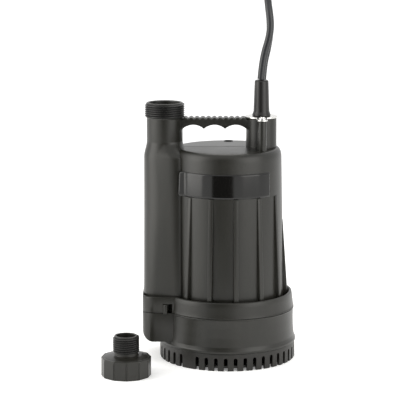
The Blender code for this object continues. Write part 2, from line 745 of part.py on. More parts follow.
def label_wedge(name, margin):
    """A wedge from the axis over the label's angle and height, wider by margin."""
    far = 2 * HOUSING_LOW_R
    spread = margin / SHOULDER_R
    angles = [LABEL_FROM - spread + (LABEL_TO - LABEL_FROM + 2 * spread) * i / 4 for i in range(5)]
    outline = [(0, 0)] + [around(a, far) for a in angles]
    return slab(name, outline, LABEL_LOW - margin, LABEL_HIGH + margin)


def body_radius(z):
    share = (z - FLANGE_TOP) / (SHOULDER_LOW - FLANGE_TOP)
    return HOUSING_LOW_R + (SHOULDER_R - HOUSING_LOW_R) * share


def label_band(name, inner, outer, margin):
    """A ring that follows the body's taper, from inner to outer beyond its surface."""
    low, high = LABEL_LOW - margin, LABEL_HIGH + margin
    outline = [
        (body_radius(high) + inner, high), (body_radius(high) + outer, high),
        (body_radius(low) + outer, low), (body_radius(low) + inner, low),
    ]
    return turned(name, outline, 48)


def motor_housing():
    body = add(housing_shell(), riser(), ribs(), neck(), handle())
    pillar_low = HOUSING_TOP - SINK
    add(
        body,
        rod("pillar", PILLAR_R, pillar_low, PILLAR_TOP, (PILLAR_X, 0), 28),
        slab("ears", capsule(EAR_OUT, EAR_R), pillar_low, PILLAR_TOP),
    )
    dry = [(0, ROOF_LOW), (DRY_R, ROOF_LOW), (DRY_R, LEDGE), (SEAT_R, LEDGE), (SEAT_R, HOUSING_LOW - OVER)]
    recess = label_band("label_recess", LABEL_PROUD - LABEL_THICK - GAP, LABEL_THICK + OVER, GAP)
    combine(recess, "INTERSECT", [label_wedge("recess_wedge", GAP)])
    notch_r = LATCH_WIDTH / 2 + GAP
    notch_in = LOBE_HALF + LATCH_PROUD - LATCH_WIDTH - GAP
    notches = []
    for side in (-1, 1):
        y = sorted((side * notch_in, side * (LOBE_HALF + OVER)))
        low = (LATCH_X - notch_r, y[0], HOUSING_LOW - OVER)
        high = (LATCH_X + notch_r + NOTCH_SPARE, y[1], CASING_TOP + LATCH_UP + GAP)
        notches.append(box("notch", low, high))
    cut(
        body,
        turned("dry_chamber", [*dry, (0, HOUSING_LOW - OVER)], 36),
        passage(),
        rod("pipe_bore", PIPE_BORE_R, ROOF_LOW + PASSAGE_ROOF - OVER, PIPE_TOP + OVER, (PIPE_X, 0), 24),
        rod("cord_bore", PILLAR_BORE_R, ROOF_LOW - OVER, PILLAR_TOP + OVER, (PILLAR_X, 0), 16),
        rod("fill_hole", PLUG_HOLE_R, ROOF_LOW - OVER, HOUSING_TOP + OVER, PLUG_HOLE_AT, 16),
        recess,
        joined("notches", notches),
    )
    blind = [
        rod("ear_hole", SCREW_HOLE_R, COVER_TOP - COVER_SCREW_LONG - OVER, PILLAR_TOP + OVER, (PILLAR_X, side * EAR_OUT), 12)
        for side in (-1, 1)
    ]
    top = SCREW_HEAD_UP + CASING_SCREW_LONG + OVER / 2
    blind += [rod("flange_hole", SCREW_HOLE_R, HOUSING_LOW - OVER, top, p, 10) for p in casing_screw_places()]
    return cut(body, joined("screw_holes", blind))


def cover_plate():
    plate = rod("cord_cover_plate", COVER_R, COVER_LOW, COVER_TOP, (PILLAR_X, 0), 32)
    add(plate, slab("cover_ears", capsule(EAR_OUT, COVER_EAR_R), COVER_LOW, COVER_TOP))
    holes = [rod("boot_hole", BOOT_R + GAP, COVER_LOW - OVER, COVER_TOP + OVER, (PILLAR_X, 0), 16)]
    for side in (-1, 1):
        holes.append(rod("hole", SCREW_HOLE_R, COVER_LOW - OVER, COVER_TOP + OVER, (PILLAR_X, side * EAR_OUT), 12))
    return cut(plate, joined("cover_holes", holes))


def strain_relief():
    foot = COVER_TOP + GAP
    neck_low = foot + BOOT_FOOT
    edge = 1.2 * MM
    outline = [
        (0, BOOT_TOP), (BOOT_TOP_R - edge, BOOT_TOP), (BOOT_TOP_R, BOOT_TOP - edge), (BOOT_R, neck_low + BOOT_FOOT),
        (BOOT_FOOT_R, neck_low), (BOOT_FOOT_R, foot), (BOOT_R, foot), (BOOT_R, PILLAR_TOP - 4 * BOOT_FOOT),
        (0, PILLAR_TOP - 4 * BOOT_FOOT),
    ]
    return turned("strain_relief", outline, 20, (PILLAR_X, 0, 0))


def seal_plate():
    seat = LOWER_BEARING_R + GAP
    boss = seat + BEARING_SEAT_WALL
    boss_top = PLATE_TOP + LOWER_BEARING_HIGH - OVER
    shaft = SHAFT_R + GAP
    groove = PLATE_R - 2 * ORING_R
    mid = (PLATE_TOP + PLATE_LOW) / 2
    outline = [
        (seat, boss_top), (boss, boss_top), (boss, PLATE_TOP), (PLATE_R, PLATE_TOP),
        (PLATE_R, mid + ORING_R + GAP), (groove - GAP, mid + ORING_R + GAP), (groove - GAP, mid - ORING_R - GAP),
        (PLATE_R, mid - ORING_R - GAP), (PLATE_R, PLATE_LOW), (PLATE_HUB_R, PLATE_LOW), (PLATE_HUB_R, HUB_LOW),
        (SEAL_R + GAP, HUB_LOW), (SEAL_R + GAP, SEAL_TOP + GAP), (shaft, SEAL_TOP + GAP), (shaft, PLATE_TOP),
        (seat, PLATE_TOP),
    ]
    plate = turned("seal_plate", outline, 32)
    places = bolt_places(BOLT_CIRCLE)
    posts = [rod("post", POST_R, PLATE_TOP - SINK, POST_TOP, p, 8) for p in places]
    bores = [rod("bore", BOLT_R + GAP, POST_TOP - BOLT_GRIP - OVER, POST_TOP + OVER, p, 8) for p in places]
    return cut(add(plate, joined("posts", posts)), joined("post_bores", bores))


def o_ring():
    mid = (PLATE_TOP + PLATE_LOW) / 2
    centre = PLATE_R - ORING_R
    outline = [(x, z) for x, z in arc((centre, mid), ORING_R, 90, -210, 5)]
    return turned("housing_o_ring", outline, 28)


def stator():
    core = ring("stator_core", STATOR_INNER, STATOR_R, STATOR_LOW, STATOR_HIGH, 32)
    holes = [
        rod("bolt_hole", BOLT_R + GAP, STATOR_LOW - OVER, STATOR_HIGH + OVER, p, 8) for p in bolt_places(BOLT_CIRCLE)
    ]
    return cut(core, joined("stator_holes", holes))


def bearing_bracket():
    seat = UPPER_BEARING_R + GAP
    hub = seat + BEARING_SEAT_WALL
    hub_low = LID_LOW - UPPER_BEARING_HIGH
    wall = STATOR_R - BRACKET_WALL
    low = STATOR_HIGH + GAP
    outline = [
        (0, BRACKET_TOP), (STATOR_R, BRACKET_TOP), (STATOR_R, low), (wall, low), (wall, LID_LOW),
        (hub, LID_LOW), (hub, hub_low), (seat, hub_low), (seat, LID_LOW), (0, LID_LOW),
    ]
    bracket = turned("upper_bearing_bracket", outline, 32)
    holes = [rod("bolt_hole", BOLT_R + GAP, low - OVER, BRACKET_TOP + OVER, p, 8) for p in bolt_places(BOLT_CIRCLE)]
    holes.append(rod("lead_hole", 2 * WIRE_R, LID_LOW - OVER, BRACKET_TOP + OVER, lead_place(), 12))
    return cut(bracket, joined("bracket_holes", holes))


def lead_place():
    """Where the winding's lead passes the bracket's lid."""
    return TERMINAL_SIZE[0] / 2 + 4 * WIRE_R, TERMINAL_Y


def shaft_seal_face():
    inner, low, high = SHAFT_R + GAP, IMPELLER_TOP + GAP, SEAL_LOW - GAP
    return ring("seal_face_ring", inner, SEAL_R - OVER, low, high, 16)


def motor_shaft():
    shoulder = IMPELLER_TOP + GAP
    stud_low = IMPELLER_LOW - 2 * GAP - WASHER_THICK - NUT_HIGH - STUD_PROUD
    outline = [(0, SHAFT_TOP), (SHAFT_R, SHAFT_TOP), (SHAFT_R, shoulder), (STUD_R, shoulder), (STUD_R, stud_low), (0, stud_low)]
    return turned("motor_shaft", outline, 16)


def rotor_core():
    inner = SHAFT_R + GAP
    low, high = STATOR_LOW - END_RING_OUT, STATOR_HIGH + END_RING_OUT
    outline = [
        (inner, high), (END_RING_R, high), (END_RING_R, STATOR_HIGH), (ROTOR_R, STATOR_HIGH), (ROTOR_R, STATOR_LOW),
        (END_RING_R, STATOR_LOW), (END_RING_R, low), (inner, low),
    ]
    return turned("rotor_core", outline, 28)


def impeller():
    shroud = rod("impeller", IMPELLER_R, IMPELLER_TOP - IMPELLER_PLATE, IMPELLER_TOP, sides=36)
    add(shroud, rod("hub", IMPELLER_HUB_R, IMPELLER_LOW, IMPELLER_TOP - IMPELLER_PLATE / 2, sides=16))
    vanes = []
    root = IMPELLER_HUB_R - OVER
    tip = IMPELLER_R - OVER / 2
    for i in range(IMPELLER_VANES):
        middle = []
        for step in range(5):
            share = step / 4
            radius = root + (tip - root) * share
            middle.append(Vector(around(2 * math.pi * i / IMPELLER_VANES + VANE_SWEEP * share, radius)))
        side = []
        for a, b in zip([middle[0], *middle[:-1]], [*middle[1:], middle[-1]]):
            side.append(Vector((-(b - a).y, (b - a).x)).normalized() * VANE_THICK / 2)
        outline = [m + s for m, s in zip(middle, side)] + [m - s for m, s in reversed(list(zip(middle, side)))]
        vanes.append(slab("vane", [tuple(p) for p in outline], IMPELLER_LOW, IMPELLER_TOP - IMPELLER_PLATE / 2))
    for vane in vanes:
        add(shroud, vane)
    return cut(shroud, rod("impeller_bore", STUD_R + GAP, IMPELLER_LOW - OVER, IMPELLER_TOP + OVER, sides=12))


def impeller_nut():
    high = IMPELLER_LOW - 2 * GAP - WASHER_THICK
    nut = rod("impeller_nut", NUT_R, high - NUT_HIGH, high, sides=6)
    return cut(nut, rod("nut_bore", STUD_R + GAP, high - NUT_HIGH - OVER, high + OVER, sides=16))


def lying_rod(name, radius, long, centre, sides):
    """A cylinder along X."""
    bm = bmesh.new()
    turn = Matrix.Rotation(math.pi / 2, 4, "Y")
    bmesh.ops.create_cone(bm, cap_ends=True, segments=sides, radius1=radius, radius2=radius, depth=long, matrix=turn)
    return from_bmesh(name, bm, centre)


def capacitor_strap():
    base = BRACKET_TOP + GAP
    axis = base + CAPACITOR_R
    inner = CAPACITOR_R + GAP
    outer = inner + STRAP_THICK
    toe = outer + STRAP_FOOT
    outline = [(inner, base), (toe, base), (toe, base + STRAP_THICK), (outer, base + STRAP_THICK)]
    outline += arc((0, axis), outer, 0, 180, 12)
    outline += [(-outer, base + STRAP_THICK), (-toe, base + STRAP_THICK), (-toe, base), (-inner, base)]
    outline += arc((0, axis), inner, 180, 0, 12)
    turn = Matrix.Rotation(math.pi / 2, 4, "Z") @ Matrix.Rotation(math.pi / 2, 4, "X")
    place = Matrix.Translation((0, CAPACITOR_Y, 0)) @ turn
    return slab("capacitor_strap", outline, -STRAP_WIDE / 2, STRAP_WIDE / 2, place)


def hose_adapter():
    """A twelve-sided socket nut for the discharge thread, with a hose thread above it."""
    x, y = ADAPTER_AT
    nut = rod("discharge_adapter", ADAPTER_NUT_R, 0, ADAPTER_NUT_HIGH, ADAPTER_AT, ADAPTER_SIDES, ADAPTER_TURN)
    thread = thread_outline(ADAPTER_THREAD_R, THREAD_DEPTH, ADAPTER_TOP, ADAPTER_THREAD_TURNS, THREAD_PITCH)
    stem = ADAPTER_THREAD_R - THREAD_DEPTH / 2
    shoulder = ADAPTER_NUT_HIGH + ADAPTER_SHOULDER
    cone_r = ADAPTER_NUT_R * math.cos(math.pi / ADAPTER_SIDES) - OVER
    outline = [
        (0, ADAPTER_TOP), *thread, (stem, thread[-1][1]), (stem, shoulder), (ADAPTER_THREAD_R + 2 * OVER, shoulder),
        (cone_r, ADAPTER_NUT_HIGH), (cone_r, ADAPTER_NUT_HIGH - SINK), (0, ADAPTER_NUT_HIGH - SINK),
    ]
    add(nut, turned("spout", outline, 24, (x, y, 0)))
    return cut(
        nut,
        rod("spout_bore", ADAPTER_BORE_R, ADAPTER_SOCKET_DEEP - OVER, ADAPTER_TOP + OVER, ADAPTER_AT, 20),
        rod("socket", THREAD_R + GAP, -OVER, ADAPTER_SOCKET_DEEP, ADAPTER_AT, 24),
    )


def plug_body():
    """Along -Y from the cord, its local y upwards."""
    half = PLUG_WIDE / 2
    neck = PLUG_NECK / 2
    sections = [
        (0, rounded_box(-neck, neck, neck, neck - 1 * MM, 4)),
        (0.30 * PLUG_LONG, rounded_box(-neck - 1 * MM, neck + 1 * MM, neck + 1 * MM, neck - 1 * MM, 4)),
        (0.50 * PLUG_LONG, rounded_box(-half + 1 * MM, half - 1 * MM, PLUG_THICK / 2 - 1 * MM, 6 * MM, 4)),
        (0.56 * PLUG_LONG, rounded_box(-half, half, PLUG_THICK / 2, 6 * MM, 4)),
        (PLUG_LONG, rounded_box(-half, half, PLUG_THICK / 2, 6 * MM, 4)),
    ]
    rear = (PLUG_AT[0], PLUG_AT[1] + PLUG_LONG / 2, PLUG_Z)
    return loft("plug_body", sections, Matrix.Translation(rear) @ Matrix.Rotation(math.pi / 2, 4, "X"))


def plug_blade(name, side):
    front = PLUG_AT[1] - PLUG_LONG / 2 - GAP
    x = PLUG_AT[0] + side * BLADE_APART / 2
    z = PLUG_Z + PIN_UP
    low = (x - BLADE_THICK / 2, front - BLADE_LONG, z - BLADE_WIDE / 2)
    return box(name, low, (x + BLADE_THICK / 2, front, z + BLADE_WIDE / 2))


def ground_pin():
    front = PLUG_AT[1] - PLUG_LONG / 2 - GAP
    z = PLUG_Z + PIN_UP - PIN_DROP
    bm = bmesh.new()
    lean = Matrix.Rotation(math.pi / 2, 4, "X")
    bmesh.ops.create_cone(bm, cap_ends=True, segments=16, radius1=PIN_R, radius2=PIN_R, depth=PIN_LONG, matrix=lean)
    return from_bmesh("plug_ground_pin", bm, (PLUG_AT[0], front - PIN_LONG / 2, z))


def build_wet_end():
    part(strainer(), "strainer", "black_plastic")
    part(volute_casing(), "volute_casing", "black_plastic")
    part(ring("gasket", CHAMBER_R + GAP, PLATE_R, COLLAR_TOP + GAP, PLATE_LOW - GAP, 32), "casing_gasket", "rubber")
    for number, place in enumerate(casing_screw_places(), 1):
        screw = headed("screw", SCREW_HEAD_R, SCREW_HEAD, SCREW_R, CASING_SCREW_LONG, (*place, SCREW_HEAD_UP - GAP))
        screw.rotation_euler = (math.pi, 0, 0)
        part(screw, f"casing_screw_{number}", "steel")


def build_housing():
    part(motor_housing(), "motor_housing", "black_plastic")
    label = label_band("label", LABEL_PROUD - LABEL_THICK, LABEL_PROUD, 0)
    combine(label, "INTERSECT", [label_wedge("label_wedge", 0)])
    part(label, "label_plate", "gloss_plastic")
    high = HOUSING_TOP - FILL_PLUG_DOWN
    part(rod("plug", PLUG_HOLE_R - GAP, high - FILL_PLUG_THICK, high, PLUG_HOLE_AT, 16), "fill_plug", "black_plastic")
    part(cover_plate(), "cord_cover_plate", "steel")
    for name, side in (("cover_screw_front", -1), ("cover_screw_rear", 1)):
        place = (PILLAR_X, side * EAR_OUT, COVER_TOP + GAP)
        part(headed("screw", SCREW_HEAD_R, SCREW_HEAD, SCREW_R, COVER_SCREW_LONG, place), name, "steel")
    part(strain_relief(), "strain_relief", "rubber")
    seal_top = PILLAR_TOP - 4 * BOOT_FOOT - GAP
    part(rod("seal", BOOT_R, seal_top - SEAL_LONG, seal_top, (PILLAR_X, 0)), "cord_seal", "rubber")


def build_rotor():
    """Everything that turns with the shaft, under an empty on the shaft's axis."""
    axis = bpy.data.objects.new("rotor_axis", None)
    PARTS.objects.link(axis)
    bore = SHAFT_R + GAP
    part(motor_shaft(), "motor_shaft", "steel", axis)
    part(rotor_core(), "rotor_core", "aluminium", axis)
    part(impeller(), "impeller", "inner_plastic", axis)
    part(shaft_seal_face(), "seal_face_ring", "ceramic", axis)
    washer_top = IMPELLER_LOW - GAP
    washer = ring("washer", STUD_R + GAP, WASHER_R, washer_top - WASHER_THICK, washer_top, 16)
    part(washer, "impeller_washer", "steel", axis)
    part(impeller_nut(), "impeller_nut", "brass", axis)
    return bore


def build_motor():
    bore = build_rotor()
    part(seal_plate(), "seal_plate", "aluminium")
    part(o_ring(), "housing_o_ring", "rubber")
    part(ring("seal", bore, SEAL_R, SEAL_LOW, SEAL_TOP, 16), "shaft_seal", "rubber")
    low = PLATE_TOP + GAP
    part(ring("bearing", bore, LOWER_BEARING_R, low, low + LOWER_BEARING_HIGH, 20), "lower_bearing", "steel")
    high = LID_LOW - GAP
    part(ring("bearing", bore, UPPER_BEARING_R, high - UPPER_BEARING_HIGH, high, 20), "upper_bearing", "steel")
    part(bearing_bracket(), "upper_bearing_bracket", "aluminium")
    part(stator(), "stator_core", "lamination")
    low, high = STATOR_LOW - GAP, STATOR_HIGH + GAP
    part(ring("winding", WINDING_IN, WINDING_OUT, low - WINDING_UP, low, 28), "lower_winding", "copper")
    part(ring("winding", WINDING_IN, WINDING_OUT, high, high + WINDING_UP, 28), "upper_winding", "copper")
    head = BRACKET_TOP + GAP
    for number, place in enumerate(bolt_places(BOLT_CIRCLE), 1):
        long = head - (POST_TOP - BOLT_GRIP)
        bolt = headed("bolt", BOLT_HEAD_R, BOLT_HEAD, BOLT_R, long, (*place, head))
        part(bolt, f"stator_bolt_{number}", "steel")


def build_electrics():
    low = BRACKET_TOP + GAP
    centre = (0, CAPACITOR_Y, low + CAPACITOR_R)
    part(lying_rod("can", CAPACITOR_R, CAPACITOR_LONG, centre, 28), "capacitor", "capacitor_can")
    part(capacitor_strap(), "capacitor_strap", "steel")
    wide, deep, tall = TERMINAL_SIZE
    block_top = low + tall
    block = box("block", (-wide / 2, TERMINAL_Y - deep / 2, low), (wide / 2, TERMINAL_Y + deep / 2, block_top))
    part(block, "terminal_block", "ceramic")
    wide, deep, tall = PROTECTOR_SIZE
    middle = (WINDING_IN + WINDING_OUT) / 2
    low = STATOR_HIGH + WINDING_UP + 2 * GAP
    protector = box("protector", (middle - wide / 2, -deep / 2, low), (middle + wide / 2, deep / 2, low + tall))
    part(protector, "thermal_protector", "gloss_plastic")
    cord_end(block_top)
    winding_lead(block_top)
    capacitor_lead(block_top)


def in_millimetres(points):
    return [tuple(c / MM for c in p) for p in points]


def cord_end(block_top):
    """The cord's jacketed end, from its seal down to the terminal block."""
    top = PILLAR_TOP - 4 * BOOT_FOOT - GAP - SEAL_LONG - GAP
    drop = top - block_top - GAP
    end_x = TERMINAL_SIZE[0] / 2 - 4 * CORD_R
    route = [
        (PILLAR_X, 0, top), (PILLAR_X, 0, top - 0.08 * drop), (PILLAR_X, 0, top - 0.16 * drop),
        (PILLAR_X - 0.2 * (PILLAR_X - end_x), 0.25 * TERMINAL_Y, top - 0.4 * drop),
        (end_x + 0.25 * (PILLAR_X - end_x), 0.75 * TERMINAL_Y, top - 0.62 * drop),
        (end_x, TERMINAL_Y, top - 0.82 * drop), (end_x, TERMINAL_Y, top - 0.91 * drop), (end_x, TERMINAL_Y, top - drop),
    ]
    part(tube("cord_end", smooth_route(in_millimetres(route), 14), CORD_R, 2), "supply_cord_end", "rubber")


def winding_lead(block_top):
    """From the terminal block through the bracket's lid to the upper winding."""
    x, y = lead_place()
    start = TERMINAL_SIZE[0] / 2 - 3 * WIRE_R
    low = STATOR_HIGH + WINDING_UP + 2 * GAP
    winding_x = math.sqrt(((WINDING_IN + WINDING_OUT) / 2) ** 2 - y * y)
    rise = block_top + 3 * WIRE_R
    route = [
        (start, y, block_top + GAP), (start + WIRE_R, y, rise), (x - WIRE_R, y, rise), (x, y, block_top - 3 * WIRE_R),
        (x, y, BRACKET_TOP), (x, y, LID_LOW - WIRE_R), (winding_x, y, low + 2 * WIRE_R), (winding_x, y, low),
    ]
    part(tube("lead", smooth_route(in_millimetres(route), 18), WIRE_R, 1), "winding_lead", "copper")


def capacitor_lead(block_top):
    """From the terminal block to the capacitor's end."""
    start = -TERMINAL_SIZE[0] / 2 + 3 * WIRE_R
    end = -CAPACITOR_LONG / 2 - GAP
    axis = BRACKET_TOP + GAP + CAPACITOR_R
    out = end - 5 * WIRE_R
    route = [
        (start, TERMINAL_Y, block_top + GAP), (start - WIRE_R, TERMINAL_Y, block_top + 4 * WIRE_R),
        (out, TERMINAL_Y / 2, axis + 2 * WIRE_R), (out, CAPACITOR_Y / 2, axis), (out, CAPACITOR_Y, axis),
        (end - 2 * WIRE_R, CAPACITOR_Y, axis), (end, CAPACITOR_Y, axis),
    ]
    part(tube("lead", smooth_route(in_millimetres(route), 14), WIRE_R, 1), "capacitor_lead", "copper")


def build_adapter():
    part(hose_adapter(), "discharge_adapter", "black_plastic")
    top = ADAPTER_SOCKET_DEEP - GAP
    seat = ring("washer", ADAPTER_BORE_R + OVER, THREAD_R, top - ADAPTER_WASHER, top, 24, (*ADAPTER_AT, 0))
    part(seat, "adapter_washer", "rubber")


def build_cord():
    part(tube("cord", smooth_route(CORD_ROUTE, CORD_SHOWN_POINTS), CORD_R, 2), "supply_cord", "rubber")
    part(tube("tail", smooth_route(TAIL_ROUTE, TAIL_POINTS), CORD_R, 2), "supply_cord_tail", "rubber")
    coil = ring("coil", COIL_BORE_R, COIL_R, 0, COIL_TOP, 40, (*COIL_AT, 0))
    part(coil, "cord_coil", "rubber")
    part(plug_body(), "plug_body", "rubber")
    part(plug_blade("blade", -1), "plug_blade_left", "brass")
    part(plug_blade("blade", 1), "plug_blade_right", "brass")
    part(ground_pin(), "plug_ground_pin", "brass")


build_wet_end()
build_housing()
build_motor()
build_electrics()
build_adapter()
build_cord()
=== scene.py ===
"""The finish of a submersible utility pump, its loose hose adapter and its supply cord, around the CAD frame."""
import json
import math

import bmesh
import bpy
from mathutils import Matrix, Vector


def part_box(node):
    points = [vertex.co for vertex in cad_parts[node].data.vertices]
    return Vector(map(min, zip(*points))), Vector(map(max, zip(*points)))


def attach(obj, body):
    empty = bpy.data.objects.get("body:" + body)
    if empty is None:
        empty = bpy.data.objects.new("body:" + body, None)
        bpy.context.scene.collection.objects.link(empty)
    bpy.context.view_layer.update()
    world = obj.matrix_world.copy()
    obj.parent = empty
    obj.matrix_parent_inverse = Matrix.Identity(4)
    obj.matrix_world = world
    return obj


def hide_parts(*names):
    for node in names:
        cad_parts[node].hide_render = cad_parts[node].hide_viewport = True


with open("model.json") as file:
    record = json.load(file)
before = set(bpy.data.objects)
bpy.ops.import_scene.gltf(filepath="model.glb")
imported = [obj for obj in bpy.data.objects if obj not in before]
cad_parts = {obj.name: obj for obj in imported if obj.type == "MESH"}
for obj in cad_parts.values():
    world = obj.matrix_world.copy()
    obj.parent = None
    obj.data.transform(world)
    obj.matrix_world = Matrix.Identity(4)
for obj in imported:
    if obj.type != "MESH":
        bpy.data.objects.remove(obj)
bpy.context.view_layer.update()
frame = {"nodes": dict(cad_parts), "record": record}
MM = 0.001

# ---------------------------------------------------------------------------
# The studio: a white table in a white room, a tall soft box on each side and one
# above and behind, so a round black body shows two bright flanks and a dark middle.

camera_data = bpy.data.cameras.new("camera")
camera_data.lens = 163.07
camera_data.sensor_width = 36.0
camera = bpy.data.objects.new("camera", camera_data)
bpy.context.scene.collection.objects.link(camera)
camera.location = (-0.0290, -1.875, 0.500)
camera.rotation_euler = (math.radians(90 - 10.083), 0, 0)
bpy.context.scene.camera = camera

world = bpy.data.worlds.new("white_room")
bpy.context.scene.world = world
world.use_nodes = True
world.node_tree.nodes["Background"].inputs["Color"].default_value = (1.0, 1.0, 1.0, 1.0)
world.node_tree.nodes["Background"].inputs["Strength"].default_value = 1.06
bpy.context.scene.view_settings.view_transform = "Standard"


def soft_box(name, place, aim, size, power):
    """An area light that the camera doesn't see, its size in metres and its power in watts."""
    light = bpy.data.lights.new(name, "AREA")
    light.shape = "RECTANGLE"
    light.size, light.size_y = size
    light.energy = power
    light.color = (1.0, 0.985, 0.94)
    lamp = bpy.data.objects.new(name, light)
    bpy.context.scene.collection.objects.link(lamp)
    lamp.location = place
    lamp.rotation_euler = (Vector(aim) - Vector(place)).to_track_quat("-Z", "Y").to_euler()
    lamp.visible_camera = False


soft_box("left_soft_box", (-0.66, -0.20, 0.40), (0, 0, 0.22), (0.52, 0.66), 3.2)
soft_box("right_soft_box", (0.52, -0.46, 0.42), (0, 0, 0.24), (0.5, 0.62), 2.2)
soft_box("top_soft_box", (0.1, 0.55, 1.1), (0, 0, 0.2), (0.8, 0.6), 3.0)


def linear(hex_colour):
    """An sRGB hex colour as linear red, green, blue and alpha."""
    parts = [int(hex_colour[i:i + 2], 16) / 255 for i in (1, 3, 5)]
    return (*[p / 12.92 if p <= 0.04045 else ((p + 0.055) / 1.055) ** 2.4 for p in parts], 1.0)


def add_node(tree, kind, settings=None, links=None):
    """A shader node with its settings, by property or socket name, and its incoming links."""
    made = tree.nodes.new(kind)
    for key, value in (settings or {}).items():
        if hasattr(made, key) and key not in made.inputs:
            setattr(made, key, value)
        else:
            made.inputs[key].default_value = value
    for key, source in (links or {}).items():
        tree.links.new(source, made.inputs[key])
    return made


def new_finish(name, settings):
    """A material with a bare Principled shader; gives its tree, shader and Object coordinates."""
    finish = bpy.data.materials.new(name)
    finish.use_nodes = True
    tree = finish.node_tree
    shader = tree.nodes["Principled BSDF"]
    for key, value in settings.items():
        shader.inputs[key].default_value = value
    place = add_node(tree, "ShaderNodeTexCoord").outputs["Object"]
    return finish, tree, shader, place


def tinted(tree, shader, source, dark, light, start=0.0, stop=1.0):
    """Drives Base Color from dark to light, as the source rises from start to stop."""
    ramp = add_node(tree, "ShaderNodeValToRGB", {}, {"Fac": source})
    ramp.color_ramp.elements[0].position = start
    ramp.color_ramp.elements[0].color = linear(dark)
    ramp.color_ramp.elements[1].position = stop
    ramp.color_ramp.elements[1].color = linear(light)
    tree.links.new(ramp.outputs["Color"], shader.inputs["Base Color"])


def flat_panel(name, finish, half, place=Matrix()):
    """A square panel for the studio, from half its side in metres, scaled and moved by place."""
    grid = bmesh.new()
    bmesh.ops.create_grid(grid, x_segments=1, y_segments=1, size=half, matrix=place)
    data = bpy.data.meshes.new(name)
    grid.to_mesh(data)
    grid.free()
    made = bpy.data.objects.new(name, data)
    bpy.context.scene.collection.objects.link(made)
    made.data.materials.append(finish)
    return made


# Powder-white laminate: flat and glowing a little, so that it gives the pump an even light from below.
white_laminate, tree, shader, place = new_finish(
    "white_laminate", {"Roughness": 0.75, "Emission Strength": 0.2, "Emission Color": (1.0, 1.0, 1.0, 1.0)}
)
cloud = add_node(tree, "ShaderNodeTexNoise", {"Scale": 2.0}, {"Vector": place})
tint = add_node(tree, "ShaderNodeMix", {"data_type": "RGBA"}, {"Factor": cloud.outputs["Fac"]})
tint.inputs[6].default_value = linear("#fdfdfc")
tint.inputs[7].default_value = linear("#fafaf9")
tree.links.new(tint.outputs[2], shader.inputs["Base Color"])

floor = flat_panel("floor", white_laminate, 6)

# Black flag: a dark cloth on a frame that only reflections see. It keeps the middle of the glossy plastic dark.
black_velvet, tree, shader, place = new_finish("black_velvet", {"Roughness": 0.95, "Specular IOR Level": 0.1})
pile = add_node(tree, "ShaderNodeTexNoise", {"Scale": 300.0}, {"Vector": place})
tinted(tree, shader, pile.outputs["Fac"], "#050505", "#0a0a0a")
flag_upright = Matrix.Translation((-0.10, -0.45, 0.26)) @ Matrix.Rotation(math.pi / 2, 4, "X")
flag = flat_panel("flag", black_velvet, 0.5, flag_upright @ Matrix.Diagonal((0.36, 0.5, 1, 1)))
flag.visible_camera = flag.visible_diffuse = flag.visible_shadow = flag.visible_transmission = False

# ---------------------------------------------------------------------------
# Strainer: one moulding in glass-filled polypropylene, a slotted skirt and a
# floor that snap up into the casing. The pump stands on the teeth.

STRAINER_R = 71.4
SLOTS = 44
SLOT_TURN = math.radians(-2.05)
SLOT_HALF, SLOT_ARCH_FROM = 1.95, 11.75
BLANK_SLOTS = (18, 40)


def rounded(points, radius, closed=True, steps=3):
    """The outline with each corner rounded, by at most half of the sides that meet there."""
    made = []
    count = len(points)
    for i, point in enumerate(points):
        if not closed and i in (0, count - 1):
            made.append(point)
            continue
        here = Vector(point)
        before, after = Vector(points[i - 1]) - here, Vector(points[(i + 1) % count]) - here
        reach = min(radius, before.length * 0.48, after.length * 0.48)
        start, end = here + before.normalized() * reach, here + after.normalized() * reach
        for step in range(steps + 1):
            t = step / steps
            made.append(tuple(start * (1 - t) ** 2 + here * 2 * t * (1 - t) + end * t * t))
    return made


def spun(outline, steps, closed, at=(0, 0)):
    """A turned shape in metres, from an outline of (radius, height) in millimetres."""
    bm = bmesh.new()
    verts = [bm.verts.new((r * MM, 0, z * MM)) for r, z in outline]
    pairs = list(zip(verts, verts[1:])) + ([(verts[-1], verts[0])] if closed else [])
    edges = [bm.edges.new(pair) for pair in pairs]
    bmesh.ops.spin(
        bm, geom=verts + edges, cent=(0, 0, 0), axis=(0, 0, 1), angle=2 * math.pi, steps=steps, use_merge=True
    )
    bmesh.ops.remove_doubles(bm, verts=bm.verts, dist=1e-7)
    bmesh.ops.translate(bm, verts=bm.verts, vec=(at[0] * MM, at[1] * MM, 0))
    return bm


def pulled(outline, low, high, bevel=0.0, place=None):
    """A flat outline in millimetres, extruded from low to high, its rims bevelled, moved by place."""
    bm = bmesh.new()
    face = bm.faces.new([bm.verts.new((x * MM, y * MM, low * MM)) for x, y in outline])
    grown = bmesh.ops.extrude_face_region(bm, geom=[face])
    tops = [item for item in grown["geom"] if isinstance(item, bmesh.types.BMVert)]
    bmesh.ops.translate(bm, verts=tops, vec=(0, 0, (high - low) * MM))
    bmesh.ops.recalc_face_normals(bm, faces=bm.faces)
    if bevel:
        rims = [e for e in bm.edges if abs(e.verts[0].co.z - e.verts[1].co.z) < 1e-7]
        bmesh.ops.bevel(
            bm, geom=rims, offset=bevel * MM, affect="EDGES", segments=3, profile=0.5, material=-1,
            clamp_overlap=True,
        )
    if place:
        bmesh.ops.transform(bm, matrix=place, verts=bm.verts)
    return bm


def arc(centre, radius, start, end, steps):
    """Points on an arc, its angles in degrees from +X."""
    turns = [math.radians(start + (end - start) * i / steps) for i in range(steps + 1)]
    return [(centre[0] + radius * math.cos(a), centre[1] + radius * math.sin(a)) for a in turns]


def gathered(shapes):
    """Several shapes in one bmesh."""
    bm = bmesh.new()
    for shape in shapes:
        held = bpy.data.meshes.new("held")
        shape.to_mesh(held)
        shape.free()
        bm.from_mesh(held)
        bpy.data.meshes.remove(held)
    return bm


